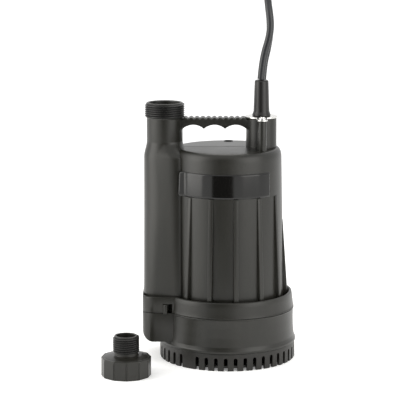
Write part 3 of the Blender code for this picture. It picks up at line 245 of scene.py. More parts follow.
def mesh_object(bm, name):
    """The shape as an object in the scene, its faces turned outwards."""
    bmesh.ops.recalc_face_normals(bm, faces=bm.faces)
    data = bpy.data.meshes.new(name)
    bm.to_mesh(data)
    bm.free()
    made = bpy.data.objects.new(name, data)
    bpy.context.scene.collection.objects.link(made)
    return made


def shaped(bm, name, cuts=(), within=()):
    """The shape as an object, with some shapes cut from it, and only what lies within others kept."""
    made = mesh_object(bm, name)
    for operation, tools in (("DIFFERENCE", cuts), ("INTERSECT", within)):
        for tool in tools:
            other = mesh_object(tool, name + "_tool")
            change = made.modifiers.new("change", "BOOLEAN")
            change.operation = operation
            change.object = other
            bpy.context.view_layer.update()
            seen = made.evaluated_get(bpy.context.evaluated_depsgraph_get())
            changed = bpy.data.meshes.new_from_object(seen)
            made.modifiers.clear()
            made.data = changed
            bpy.data.objects.remove(other, do_unlink=True)
    return made


def dressed(made, finish, body, slot, *nodes, sharp=38):
    """Smooth shading, the finish, the body it rides on and the CAD nodes it stands for."""
    made.data.shade_smooth()
    made.data.set_sharp_from_angle(angle=math.radians(sharp))
    made.data.materials.clear()
    made.data.materials.append(finish)
    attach(made, body)
    if nodes:
        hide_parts(*nodes)
    return made


def moulded_plastic(name, dark, light, roughness, grain, depth):
    """Moulded thermoplastic: a dense colour with faint flow marks, and a spark-eroded grain of some millimetres."""
    finish, tree, shader, place = new_finish(name, {"Roughness": roughness, "IOR": 1.5, "Specular IOR Level": 0.4})
    flow = add_node(tree, "ShaderNodeMapping", {"Scale": (1.0, 1.0, 0.25)}, {"Vector": place})
    cloud = add_node(
        tree, "ShaderNodeTexNoise", {"Scale": 28.0, "Detail": 4.0, "Roughness": 0.6}, {"Vector": flow.outputs[0]}
    )
    tinted(tree, shader, cloud.outputs["Fac"], dark, light, 0.3, 0.75)
    gloss = add_node(
        tree, "ShaderNodeMapRange", {"To Min": roughness - 0.05, "To Max": roughness + 0.07},
        {"Value": cloud.outputs["Fac"]},
    )
    tree.links.new(gloss.outputs["Result"], shader.inputs["Roughness"])
    speck = add_node(
        tree, "ShaderNodeTexNoise", {"Scale": 1 / (grain * MM), "Detail": 2.0}, {"Vector": place}
    )
    relief = add_node(
        tree, "ShaderNodeBump", {"Strength": depth, "Distance": 0.00015}, {"Height": speck.outputs["Fac"]}
    )
    tree.links.new(relief.outputs["Normal"], shader.inputs["Normal"])
    return finish


# Black ABS as it comes from an eroded mould: satin, its 0.9 mm grain drawn a little coarse to show.
black_abs = moulded_plastic("moulded_black_abs", "#171713", "#23221e", 0.34, 0.9, 0.35)
# The strainer's polypropylene is duller and a shade darker.
black_polypropylene = moulded_plastic("moulded_black_polypropylene", "#141310", "#1f1d19", 0.42, 1.0, 0.4)

strainer_outline = [
    (0, 5.0), (68.4, 5.0), (68.4, 14.8), (65.9, 14.8), (65.9, 21.4), (68.9, 21.4), (68.9, 18.0), (STRAINER_R, 18.0),
    (STRAINER_R, 0.0), (68.4, 0.0), (68.4, 2.5), (14.0, 2.5), (14.0, 0.0), (0, 0.0),
]
slot_mouth = [(-SLOT_HALF, -2.0), (SLOT_HALF, -2.0), *arc((0, SLOT_ARCH_FROM), SLOT_HALF, 0, 180, 10)]
slot_cutters = []
for i in range(SLOTS):
    if i not in BLANK_SLOTS:
        lean = Matrix.Rotation(SLOT_TURN + 2 * math.pi * i / SLOTS, 4, "Z") @ Matrix.Rotation(math.pi / 2, 4, "X")
        slot_cutters.append(pulled(slot_mouth, STRAINER_R - 4.0, STRAINER_R + 1.0, place=lean))
strainer_turned = spun(rounded(strainer_outline, 0.5, closed=False), 4 * SLOTS, False)
strainer = shaped(strainer_turned, "slotted_strainer", cuts=[gathered(slot_cutters)])
dressed(strainer, black_polypropylene, "strainer", "housing_plastic", "strainer")

# ---------------------------------------------------------------------------
# Volute casing: injection-moulded ABS, the wet chamber under the motor. Its
# box on the left turns the water upwards; two latch fingers stand on the box.

CASING_OUTLINE = [
    (56.2, 55.5), (56.2, 54.0), (69.9, 54.0), (70.4, 53.6), (70.4, 52.9), (69.7, 52.3), (69.55, 44.0), (69.8, 34.0),
    (70.6, 24.5), (71.6, 21.6), (72.2, 20.6), (72.2, 18.3), (69.2, 18.3), (69.2, 22.0), (18.0, 22.0), (18.0, 26.0),
    (53.0, 26.0), (53.0, 55.5),
]
# the left end, right end, half width and corner of the box that the casing and the flange share
SIDE_BOX = (-89.0, -52.5, 40.5, 13.0)
LATCH_X, LATCH_Y = -65.0, 39.5


def box_plan(left, right, half, corner, steps=8):
    """The plan of a box with round corners on its left and square ones on its right."""
    return [
        (right, half), *arc((left + corner, half - corner), corner, 90, 180, steps),
        *arc((left + corner, -half + corner), corner, 180, 270, steps), (right, -half),
    ]


def latch_finger(side):
    """A round snap finger with a domed tip, half sunk in the box, on its front (-1) or rear (1)."""
    tip = [(0, 63.6), (1.4, 63.4), (2.25, 62.6), (2.5, 61.4), (2.5, 53.6), (0, 53.6)]
    return spun(tip, 24, False, (LATCH_X, side * LATCH_Y))


casing_ring = shaped(spun(rounded(CASING_OUTLINE, 0.35), 176, True), "casing_shell")
dressed(casing_ring, black_abs, "pump", "housing_plastic", "volute_casing")
elbow_box = pulled(box_plan(*SIDE_BOX), 23.5, 54.0, 0.5)
# the box's lower left edge is rounded where the water turns upwards
bend = [(-40, 80), (-100, 80), (-100, 34.5), *arc((-78.0, 34.5), 11.0, 180, 270, 10), (-40, 23.5)]
bend_space = pulled(bend, -60, 60, place=Matrix.Rotation(math.pi / 2, 4, "X"))
elbow_block = shaped(elbow_box, "casing_elbow", within=[bend_space])
dressed(elbow_block, black_abs, "pump", "housing_plastic")
for name, side in (("latch_finger_front", -1), ("latch_finger_rear", 1)):
    dressed(shaped(latch_finger(side), name), black_abs, "pump", "housing_plastic")

# ---------------------------------------------------------------------------
# Motor housing: one large ABS moulding. A drafted round body with upright
# ribs stands in the channel of its flange; the riser runs up its left side.

BODY_LOW_R, SHOULDER_R, TOP_R = 59.4, 56.3, 51.0
BODY_LOW, SHOULDER_LOW, BODY_TOP = 66.0, 213.4, 223.6
FLANGE_LOW, FLANGE_TOP = 54.3, 71.0
FILL_AT = (1.5, 44.0)


def body_radius(z):
    """The drafted wall's radius at a height."""
    return BODY_LOW_R + (SHOULDER_R - BODY_LOW_R) * (z - FLANGE_TOP) / (SHOULDER_LOW - FLANGE_TOP)


shoulder = [
    (TOP_R + (SHOULDER_R - TOP_R) * math.sin(a), SHOULDER_LOW + (BODY_TOP - SHOULDER_LOW) * math.cos(a))
    for a in (math.radians(d) for d in range(0, 91, 9))
]
rows = [(body_radius(z), z) for z in range(200, 71, -16)]
body_outline = [
    (0, BODY_TOP), (24, BODY_TOP), (42, BODY_TOP), *shoulder, *rows, (BODY_LOW_R, BODY_LOW - 2), (0, BODY_LOW - 2),
]
body = spun(body_outline, 168, False)
bmesh.ops.bisect_plane(
    body, geom=body.verts[:] + body.edges[:] + body.faces[:], plane_co=(0, 0, 0), plane_no=(0, 1, 0), dist=1e-6
)
# the top is cut along its middle, and falls by a degree to the front and the back
for vert in body.verts:
    rise = (vert.co.z / MM - SHOULDER_LOW) / (BODY_TOP - SHOULDER_LOW)
    if rise > 0:
        vert.co.z -= abs(vert.co.y) * math.tan(math.radians(1.0)) * rise
fill_hole = spun([(0, 230), (4.8, 230), (4.8, 214), (0, 214)], 40, False, FILL_AT)
body_shell = shaped(body, "body_shell", cuts=[fill_hole])
dressed(body_shell, black_abs, "pump", "housing_plastic", "motor_housing", sharp=30)

# A near-black lining on the fill hole's wall, in the painted-shade finish: painted shade that darkens the hole.
fill_shade_outline = [(3.9, 223.2), (4.75, 223.4), (4.75, 214.0), (3.9, 214.0)]
fill_hole_shade = shaped(spun(fill_shade_outline, 40, True, FILL_AT), "fill_hole_painted_shade")

flange_outline = [
    (59.0, 66.0), (64.9, 66.0), (64.9, 70.4), (65.5, 71.0), (66.9, 71.0), (67.9, 70.2), (68.6, 66.5), (69.3, 60.0),
    (69.8, 55.6), (70.2, 55.2), (70.3, 54.3), (59.0, 54.3),
]
flange = shaped(spun(rounded(flange_outline, 0.4), 176, True), "flange_ring")
dressed(flange, black_abs, "pump", "housing_plastic")
lobe_top = pulled(box_plan(*SIDE_BOX), FLANGE_LOW, FLANGE_TOP, 0.7)
step_round_riser = pulled(box_plan(-88.4, -45.0, 36.2, 12.4), FLANGE_TOP - 2.5, FLANGE_TOP + 5)
# notches that the latch fingers snap into
notches = []
for side in (-1, 1):
    y = sorted((side * 31.0, side * 45.0))
    plan = [(-67.6, y[0]), (-57.8, y[0]), (-57.8, y[1]), (-67.6, y[1])]
    notches.append(pulled(plan, 50.0, 63.9))
flange_lobe = shaped(lobe_top, "flange_lobe", cuts=[step_round_riser, gathered(notches)])
dressed(flange_lobe, black_abs, "pump", "housing_plastic")

# Ribs: drafted bars, moulded with the body, evenly spaced, with the ones under the riser left out.
RIBS, RIB_TURN, RIB_HALF = 14, math.radians(7.7), 2.4
RIB_LOW, FRONT_RIB_TOP, SIDE_RIB_TOP = 65.0, 176.4, 147.0
RIB_IN, RIB_OUT, RIB_DRAFT = 54.3, 63.9, 0.051
rib_bars = []
for i in range(RIBS):
    angle = RIB_TURN + 2 * math.pi * i / RIBS
    angle -= 2 * math.pi if angle > math.pi else 0
    x, y = BODY_LOW_R * math.sin(angle), -BODY_LOW_R * math.cos(angle)
    if x < 0 and abs(y) < 37.4:
        continue
    in_front = abs(angle) < math.radians(70)
    top = FRONT_RIB_TOP if in_front else SIDE_RIB_TOP
    tip = RIB_OUT - RIB_DRAFT * (top - RIB_LOW) if in_front else body_radius(top) + 0.25
    side_view = rounded([(RIB_IN, RIB_LOW), (RIB_OUT, RIB_LOW), (tip, top), (RIB_IN, top)], 0.8)
    lean = Matrix.Rotation(angle - math.pi / 2, 4, "Z") @ Matrix.Rotation(math.pi / 2, 4, "X")
    rib_bars.append(pulled(side_view, -RIB_HALF, RIB_HALF, 0.55, lean))
ribs = shaped(gathered(rib_bars), "body_ribs")
dressed(ribs, black_abs, "pump", "housing_plastic")

# Riser and discharge neck: hollow, from a round-cornered foot to a round pipe end.
PIPE_X, PIPE_TOP, PIPE_BORE_R, NECK_R = -65.8, 270.0, 16.5, 18.75
THREAD_ROOT, THREAD_CREST, PITCH = 19.3, 20.7, 2.209
RISER_BLEND = 16.6


def loop_of(bm, points, z):
    """A closed ring of edges through points, at one height."""
    verts = [bm.verts.new((x * MM, y * MM, z * MM)) for x, y in points]
    return [bm.edges.new((verts[i], verts[(i + 1) % len(verts)])) for i in range(len(verts))]


def round_box_plan(left, right, half, corner, steps=12):
    """The plan of a box with four round corners."""
    corners = [
        ((right - corner, half - corner), 0), ((left + corner, half - corner), 90),
        ((left + corner, corner - half), 180), ((right - corner, corner - half), 270),
    ]
    return [p for centre, start in corners for p in arc(centre, corner, start, start + 90, steps)]


def lofted(sections):
    """A closed skin through rings of equally many points, each given with its height."""
    bm = bmesh.new()
    rings = [loop_of(bm, points, z) for z, points in sections]
    for low, high in zip(rings, rings[1:]):
        bmesh.ops.bridge_loops(bm, edges=low + high)
    bmesh.ops.holes_fill(bm, edges=rings[0] + rings[-1], sides=0)
    return bm


def riser_corners(share):
    """The riser's left and right ends and its half width at each: its front leans outwards into the body."""
    return -88.0 + 0.5 * share, -43.0, 28.0 - 12.5 * share, 40.0 - 4.6 * share


def riser_section(share):
    """The riser's rounded plan, at a share of its height."""
    left, right, half_left, half_right = riser_corners(share)
    plan = [(right, half_right), (left, half_left), (left, -half_left), (right, -half_right)]
    return rounded(plan, 14.0 + 7.0 * share, steps=12)


riser_rings = [(64.0, riser_section(0.0))]
for share in (0.0, 0.2, 0.4, 0.6, 0.8, 0.93, 1.0):
    riser_rings.append((FLANGE_TOP + (SHOULDER_LOW - FLANGE_TOP) * share, riser_section(share)))
# above the shoulder it blends into the round pipe
for share in (0.1, 0.2, 0.32, 0.44, 0.56, 0.68, 0.8, 0.9, 1.0):
    mix = share * share * (3 - 2 * share)
    pipe = round_box_plan(PIPE_X - NECK_R, PIPE_X + NECK_R, NECK_R, NECK_R)
    section = [tuple(Vector(a).lerp(Vector(b), mix)) for a, b in zip(riser_section(1.0), pipe)]
    riser_rings.append((SHOULDER_LOW + RISER_BLEND * share, section))
bore_cut = spun([(0, 240), (PIPE_BORE_R, 240), (PIPE_BORE_R, 205), (0, 205)], 64, False, (PIPE_X, 0))
riser_open = shaped(lofted(riser_rings), "riser_open", cuts=[bore_cut])
dressed(riser_open, black_abs, "pump", "housing_plastic", sharp=42)

neck_outline = [
    (PIPE_BORE_R, 268.8), (17.1, PIPE_TOP), (18.6, PIPE_TOP), (THREAD_ROOT, 269.2), (THREAD_ROOT, 254.6),
    (NECK_R, 253.9), (NECK_R, 229.0), (PIPE_BORE_R, 229.0),
]
neck = shaped(spun(rounded(neck_outline, 0.3), 128, True, (PIPE_X, 0)), "discharge_neck")
dressed(neck, black_abs, "pump", "housing_plastic")


def helix(root, crest, top, turns, pitch, at, steps=64):
    """A thread's ridge: its flanks swept along a helix that ends at top, its foot sunk into the root."""
    bm = bmesh.new()
    low = top - turns * pitch
    half = pitch * 0.36
    flank = [
        (root - 0.3, low - half), (root - 0.3, low + half), (crest, low + 0.14 * pitch), (crest, low - 0.14 * pitch),
    ]
    verts = [bm.verts.new((r * MM, 0, z * MM)) for r, z in flank]
    face = bm.faces.new(verts)
    total = int(steps * turns)
    bmesh.ops.spin(
        bm, geom=[face], cent=(0, 0, 0), axis=(0, 0, 1), dvec=(0, 0, pitch * MM / steps),
        angle=2 * math.pi * turns, steps=total, use_merge=False,
    )
    bmesh.ops.recalc_face_normals(bm, faces=bm.faces)
    bmesh.ops.translate(bm, verts=bm.verts, vec=(at[0] * MM, at[1] * MM, 0))
    return bm


# The threads are the body's own ABS. Their ridges are painted a shade darker and their deep roots near black: painted
# shade, as the grooves fall in shadow.
shaded_thread_abs = moulded_plastic("thread_ridge_painted_shade_abs", "#121110", "#1b1a18", 0.36, 1.0, 0.3)
recess_shade_finish = moulded_plastic("painted_recess_shade_abs", "#040404", "#080807", 0.70, 1.0, 0.3)
dressed(fill_hole_shade, recess_shade_finish, "pump", "housing_plastic")
pipe_thread = shaped(helix(THREAD_ROOT, THREAD_CREST, 269.0, 6.4, PITCH, (PIPE_X, 0)), "pipe_thread")
dressed(pipe_thread, shaded_thread_abs, "pump", "housing_plastic")
# a near-black ring in the thread's roots: painted shade in the grooves
root_outline = [(18.0, 254.8), (THREAD_ROOT + 0.08, 254.8), (THREAD_ROOT + 0.08, 268.9), (18.0, 268.9)]
pipe_root = shaped(spun(root_outline, 128, True, (PIPE_X, 0)), "pipe_thread_root")
dressed(pipe_root, recess_shade_finish, "pump", "housing_plastic")

# Grip handle: a bar from the neck to the cord pillar, scalloped below and ridged on top.
PILLAR_X, PILLAR_R, SCREW_Y = 35.0, 15.8, 31.0
GRIP_RIDGES, GRIP_SCALLOPS = 11, 3
grip_left, grip_right = PIPE_X + NECK_R, PILLAR_X - PILLAR_R
ridge_pitch = (grip_right - grip_left) / GRIP_RIDGES
grip_outline = [(-51.0, 252.6)]
for ridge in range(GRIP_RIDGES):
    for share in (0.0, 0.12, 0.26, 0.42, 0.58, 0.74, 0.88):
        lift = 2.1 * math.sin(math.pi * share) ** 0.8
        grip_outline.append((grip_left + ridge_pitch * (ridge + share), 252.8 + lift))
grip_outline += [(grip_right, 252.8), (24.0, 252.6), (24.0, 241.5), (grip_right + 0.5, 242.6)]
span = (grip_right - grip_left) / GRIP_SCALLOPS
for scallop in range(GRIP_SCALLOPS):
    for share in (0.0, 0.1, 0.25, 0.4, 0.55, 0.7, 0.85, 0.93):
        drop = 4.3 * math.sin(math.pi * share) ** 0.75
        grip_outline.append((grip_right - span * (scallop + share), 243.1 + drop))
grip_outline += [(grip_left - 0.5, 242.6), (-51.0, 241.5)]
grip = shaped(pulled(grip_outline, -9.0, 9.0, 0.9, Matrix.Rotation(math.pi / 2, 4, "X")), "grip_handle")
dressed(grip, black_abs, "pump", "housing_plastic", sharp=50)

# Cord pillar: a round post with a narrow screw boss on its front and its back.
pillar_outline = [(8.6, 254.0), (15.4, 254.0), (PILLAR_R, 253.6), (15.9, 230.0), (16.1, 221.0), (8.6, 221.0)]
pillar = shaped(spun(pillar_outline, 96, True, (PILLAR_X, 0)), "cord_pillar")
dressed(pillar, black_abs, "pump", "housing_plastic")
boss_ends = arc((PILLAR_X, SCREW_Y), 4.5, 0, 180, 16) + arc((PILLAR_X, -SCREW_Y), 4.5, 180, 360, 16)
boss_hole = spun([(0, 260), (8.5, 260), (8.5, 215), (0, 215)], 48, False, (PILLAR_X, 0))
bosses = shaped(pulled(boss_ends, 221.0, 253.9, 0.4), "screw_bosses", cuts=[boss_hole])
dressed(bosses, black_abs, "pump", "housing_plastic")

# Flash left where the mould's halves meet, a hair line across the top face.
flash_line = pulled([(-46.0, -0.12), (18.6, -0.12), (18.6, 0.12), (-46.0, 0.12)], 223.0, 223.72, 0.05)
dressed(shaped(flash_line, "mould_flash"), black_abs, "pump", "housing_plastic")

# ---------------------------------------------------------------------------
# Label plate: a smooth gloss film on the body's front, left blank, with
# rounded corners. It bends round the drafted body and onto the riser's front.

LABEL_LOW, LABEL_HIGH = 176.9, 202.3
LABEL_FROM, LABEL_TO = math.radians(-57), math.radians(48.6)
LABEL_R, LABEL_CORNER = 56.8, 2.2
label_long, label_tall = LABEL_R * (LABEL_TO - LABEL_FROM), LABEL_HIGH - LABEL_LOW
label_flat = bmesh.new()
bmesh.ops.create_grid(label_flat, x_segments=96, y_segments=12, size=0.5)
for vert in label_flat.verts:
    along, up = vert.co.x * label_long, vert.co.y * label_tall
    over_x = abs(along) - (label_long / 2 - LABEL_CORNER)
    over_z = abs(up) - (label_tall / 2 - LABEL_CORNER)
    if over_x > 0 and over_z > 0 and math.hypot(over_x, over_z) > LABEL_CORNER:
        pull = LABEL_CORNER / math.hypot(over_x, over_z)
        along = math.copysign(label_long / 2 - LABEL_CORNER + over_x * pull, along)
        up = math.copysign(label_tall / 2 - LABEL_CORNER + over_z * pull, up)
    angle = (LABEL_FROM + LABEL_TO) / 2 + along / LABEL_R
    z = (LABEL_LOW + LABEL_HIGH) / 2 + up
    left, right, half_left, half_right = riser_corners((z - FLANGE_TOP) / (SHOULDER_LOW - FLANGE_TOP))
    # on its left the film passes from the body onto the riser's leaning front
    lean = (half_right - half_left) / (right - left)
    on_riser = (half_left - lean * left) / (math.cos(angle) - lean * math.sin(angle))
    radius = max(body_radius(z), on_riser if angle < math.radians(-40) else 0) + 0.35
    vert.co = (radius * math.sin(angle) * MM, -radius * math.cos(angle) * MM, z * MM)
bmesh.ops.recalc_face_normals(label_flat, faces=label_flat.faces)
label_plate = mesh_object(label_flat, "blank_label")
wall = label_plate.modifiers.new("film", "SOLIDIFY")
wall.thickness = 0.0005
wall.offset = -1.0
# Gloss polyester film: smooth and near black, it mirrors the soft boxes more sharply than the ABS.
gloss_film = moulded_plastic("gloss_polyester_film", "#0b0b0a", "#100f0e", 0.14, 3.0, 0.05)
dressed(label_plate, gloss_film, "pump", "label_gloss", "label_plate")

# ---------------------------------------------------------------------------
# Cord entry: a stamped stainless plate held by two screws clamps a moulded
# rubber strain relief on the pillar.

# Stainless steel, tumbled after stamping: bright with a fine uneven brushing.
stainless, tree, shader, place = new_finish("tumbled_stainless", {"Metallic": 1.0, "Roughness": 0.22})
brushing = add_node(tree, "ShaderNodeMapping", {"Scale": (60.0, 900.0, 900.0)}, {"Vector": place})
strokes = add_node(tree, "ShaderNodeTexNoise", {"Scale": 1.0, "Detail": 3.0}, {"Vector": brushing.outputs[0]})
tinted(tree, shader, strokes.outputs["Fac"], "#c9c8c5", "#e6e5e2")
polish = add_node(tree, "ShaderNodeMapRange", {"To Min": 0.15, "To Max": 0.32}, {"Value": strokes.outputs["Fac"]})
tree.links.new(polish.outputs["Result"], shader.inputs["Roughness"])

COVER_LOW, COVER_TOP, PLATE_R, EAR_R = 254.3, 255.8, 17.0, 5.5
# the angle at which the plate's round middle meets its straight ears
ear_reach = math.degrees(math.acos(EAR_R / PLATE_R))
plate_outline = [
    *arc((PILLAR_X, 0), PLATE_R, -ear_reach, ear_reach, 24),
    *arc((PILLAR_X, SCREW_Y), EAR_R, 0, 180, 14),
    *arc((PILLAR_X, 0), PLATE_R, 180 - ear_reach, 180 + ear_reach, 24),
    *arc((PILLAR_X, -SCREW_Y), EAR_R, 180, 360, 14),
]
plate_hole = spun([(0, 260), (8.6, 260), (8.6, 250), (0, 250)], 48, False, (PILLAR_X, 0))
cover_plate = shaped(pulled(plate_outline, COVER_LOW, COVER_TOP, 0.35), "cord_cover", cuts=[plate_hole])
dressed(cover_plate, stainless, "pump", "steel", "cord_cover_plate")


def domed_screw(name, x, y, seat, node):
    """A pan-head screw with a cross recess."""
    head = [
        (0, seat + 2.6), (1.2, seat + 2.5), (2.4, seat + 2.05), (3.3, seat + 1.3), (3.7, seat + 0.6), (3.7, seat),
        (2.0, seat), (2.0, seat - 17.5), (0, seat - 18.0),
    ]
    recess = []
    for wide, deep in ((1.7, 0.28), (0.28, 1.7)):
        plan = [(x - wide, y - deep), (x + wide, y - deep), (x + wide, y + deep), (x - wide, y + deep)]
        recess.append(pulled(plan, seat + 1.5, seat + 4))
    screw = shaped(spun(head, 40, False, (x, y)), name, cuts=recess)
    return dressed(screw, stainless, "pump", "steel", node)


domed_screw("front_cover_screw", PILLAR_X, -SCREW_Y, COVER_TOP + 0.3, "cover_screw_front")
domed_screw("rear_cover_screw", PILLAR_X, SCREW_Y, COVER_TOP + 0.3, "cover_screw_rear")

# Moulded rubber: nearly black, duller than the ABS, with a soft edge to every highlight.
boot_rubber = moulded_plastic("moulded_neoprene", "#100f0e", "#191817", 0.32, 0.8, 0.25)
boot_outline = [
    (3.9, 293.3), (5.2, 293.5), (6.5, 293.1), (7.2, 292.0), (7.6, 282.0), (8.0, 268.0), (8.35, 260.6), (8.9, 259.0),
    (9.5, 257.8), (9.6, 256.1), (8.3, 256.1), (8.3, 247.0), (3.9, 247.0),
]
boot = shaped(spun(rounded(boot_outline, 0.5), 96, True, (PILLAR_X, 0)), "cord_strain_relief")
dressed(boot, boot_rubber, "pump", "rubber", "strain_relief")

# ---------------------------------------------------------------------------
# Supply cord: a round three-core cord in a black jacket, ten feet long. It
# rises from the strain relief, arches over behind the pump and lies coiled.

CORD_LONG, CORD_THICK = 3.048, 0.0077
CORD_ROUTE = [
    (34.4, 0, 294.2), (35.0, 0, 301), (35.9, 0, 309), (37.2, 0, 317), (39.0, 0, 325),
    (41.3, 0, 333), (43.2, 0, 342), (43.8, 0, 351), (43.1, 1, 360), (41.8, 4, 370),
    (40.8, 10, 381), (40.3, 20, 393), (40.2, 33, 402), (40.6, 48, 405.7), (41.4, 63, 402),
    (42.3, 76, 392), (43.3, 84, 378), (45.0, 88, 362), (46.7, 90, 346), (46.6, 91, 332),
    (44.5, 91, 318), (41.5, 91, 304), (39.5, 91, 286), (39.5, 90, 260), (40.0, 89, 220),
    (40.5, 88.5, 180), (41.0, 88, 140), (41.0, 88, 100), (40.8, 88, 70), (40.2, 89, 48),
    (39.3, 92.5, 28), (38.3, 99, 13), (37.6, 107, 6.2), (37.35, 113.4, 4.5),
]
TAIL_ROUTE = [
    (0, 193.1, 28.3), (-12, 194.8, 28.6), (-24, 194.0, 29.6), (-35.5, 190.8, 31.4),
    (-57, 171.2, 36.0), (-57, 168.5, 36.0),
]
COIL_AT = Vector((-10.9 * MM, 149.5 * MM, 0))
LANE, LAYER, LOW_LAYER = 7.8 * MM, 7.8 * MM, 3.95 * MM
# lane and layer of each turn, from the outside of the bottom layer
COIL_TURNS = [(1, 0), (0, 0), (-1, 0), (-1, 1), (0, 1), (1, 1), (1, 2), (0, 2)]
# points on each turn, and the share of a turn in which the cord passes to its next lane
TURN_POINTS, LANE_CHANGE = 36, 0.24


def between(a, b, head_a, head_b, t):
    """The point at share t of an easy curve that leaves a along head_a and reaches b along head_b."""
    chord = (b - a).length
    near = (1 + 2 * t) * (1 - t) ** 2 * a + t * (1 - t) ** 2 * chord * head_a
    return near + t * t * (3 - 2 * t) * b - t * t * (1 - t) * chord * head_b


def smooth_route(route, per_span=6):
    """Points on a smooth curve through route, in metres."""
    knots = [Vector(p) * MM for p in route]
    steps = [b - a for a, b in zip(knots, knots[1:])]
    slopes = [s.normalized() for s in steps]
    heads = [slopes[0]]
    for before, after, long_in, long_out in zip(slopes, slopes[1:], steps, steps[1:]):
        heads.append(before.lerp(after, long_in.length / (long_in.length + long_out.length)))
    heads.append(slopes[-1])
    points = []
    for a, b, head_a, head_b in zip(knots, knots[1:], heads, heads[1:]):
        points += [between(a, b, head_a, head_b, step / per_span) for step in range(per_span)]
    return points + [knots[-1]]


def long_of(points):
    """The length along a line of points."""
    return sum((b - a).length for a, b in zip(points, points[1:]))


def ease(share):
    """A share from 0 to 1 that starts and stops gently."""
    share = min(max(share, 0.0), 1.0)
    return share * share * (3 - 2 * share)


def wound(middle, start, finish):
    """The turns between two points, each lane a cord's width from the next."""
    begin = math.atan2(start.y - COIL_AT.y, start.x - COIL_AT.x)
    end = math.atan2(finish.y - COIL_AT.y, finish.x - COIL_AT.x)
    last = len(COIL_TURNS) + ((end - begin) / (2 * math.pi)) % 1.0
    first_r = (start - COIL_AT).to_2d().length
    last_r = (finish - COIL_AT).to_2d().length
    stops = [(first_r, start.z)] + [(middle + LANE * lane, LOW_LAYER + LAYER * layer) for lane, layer in COIL_TURNS]
    stops.append((last_r, finish.z))
    points = []
    count = int(last * TURN_POINTS)
    for i in range(1, count):
        turn = last * i / count
        at = int(turn)
        window = LANE_CHANGE if at < len(COIL_TURNS) else last - len(COIL_TURNS)
        share = ease((turn - at) / window)
        here, after = stops[at], stops[at + 1]
        radius = here[0] + (after[0] - here[0]) * share
        height = here[1] + (after[1] - here[1]) * share
        angle = begin + 2 * math.pi * turn
        points.append(COIL_AT + Vector((radius * math.cos(angle), radius * math.sin(angle), height)))
    return points


def joined(before, after, back=0.028, ahead=0.022, steps=14):
    """Two runs of cord, with the ends that meet replaced by one easy curve that stays above the floor."""
    before, after = list(before), list(after)
    while (before[-1] - before[-2]).length < back:
        back -= (before[-1] - before[-2]).length
        before.pop()
    while (after[1] - after[0]).length < ahead:
        ahead -= (after[1] - after[0]).length
        after.pop(0)
    a, b = before[-1], after[0]
    head_a, head_b = (a - before[-2]).normalized(), (after[1] - b).normalized()
    for step in range(1, steps):
        spot = between(a, b, head_a, head_b, step / steps)
        before.append(Vector((spot.x, spot.y, max(spot.z, LOW_LAYER))))
    return before + after


rise = smooth_route(CORD_ROUTE)
tail = smooth_route(TAIL_ROUTE, 10)
# the coil's mean radius is found by trial, so that the whole cord has its real length
middle_r = 0.043
for _ in range(8):
    line = joined(joined(rise, wound(middle_r, rise[-1], tail[0])), tail)
    middle_r += (CORD_LONG - long_of(line)) / (2 * math.pi * (len(COIL_TURNS) + 0.3))
cord_curve = bpy.data.curves.new("supply_cord_line", "CURVE")
cord_curve.dimensions = "3D"
cord_curve.bevel_depth = CORD_THICK / 2
cord_curve.bevel_resolution = 5
cord_curve.use_fill_caps = True
cord_spline = cord_curve.splines.new("POLY")
cord_spline.points.add(len(line) - 1)
for spot, place_of in zip(cord_spline.points, line):
    spot.co = (*place_of, 1)
cord = bpy.data.objects.new("mains_cord", cord_curve)
bpy.context.scene.collection.objects.link(cord)
# PVC-rubber jacket: black, extruded, with a satin sheen drawn out along it.
cord_jacket = moulded_plastic("extruded_cord_jacket", "#17181a", "#2b2c2e", 0.26, 1.2, 0.2)
cord_curve.materials.append(cord_jacket)
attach(cord, "pump")
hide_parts("supply_cord", "supply_cord_tail", "cord_coil")

# Plug: moulded on the cord, with a neck that widens to its face and three brass pins.
PLUG_X, PLUG_REAR, PLUG_Z = -57.0, 168.0, 36.0
# the distance from the rear, half width, half height and corner of each ring
PLUG_RINGS = [
    (0, 4.6, 4.6, 4.4), (1.0, 5.5, 5.5, 5.2), (10.8, 6.5, 6.5, 5.6), (14.0, 8.6, 8.0, 6.0), (18.0, 11.5, 11.0, 6.4),
    (20.2, 12.5, 12.0, 6.4), (35.0, 12.5, 12.0, 6.4), (36.0, 11.8, 11.3, 5.8),
]
plug_mesh = lofted([(at, round_box_plan(-wide, wide, tall, corner, 5)) for at, wide, tall, corner in PLUG_RINGS])
to_plug = Matrix.Translation((PLUG_X * MM, PLUG_REAR * MM, PLUG_Z * MM)) @ Matrix.Rotation(math.pi / 2, 4, "X")
bmesh.ops.transform(plug_mesh, matrix=to_plug, verts=plug_mesh.verts)
plug = dressed(shaped(plug_mesh, "mains_plug"), cord_jacket, "pump", "cord_jacket", "plug_body")

# Cold-drawn brass: bright yellow with a fine drawn grain.
drawn_brass, tree, shader, place = new_finish("drawn_brass", {"Metallic": 1.0, "Roughness": 0.25})
grain = add_node(tree, "ShaderNodeTexNoise", {"Scale": 700.0, "Detail": 2.0}, {"Vector": place})
tinted(tree, shader, grain.outputs["Fac"], "#c8a35a", "#dfc07a")

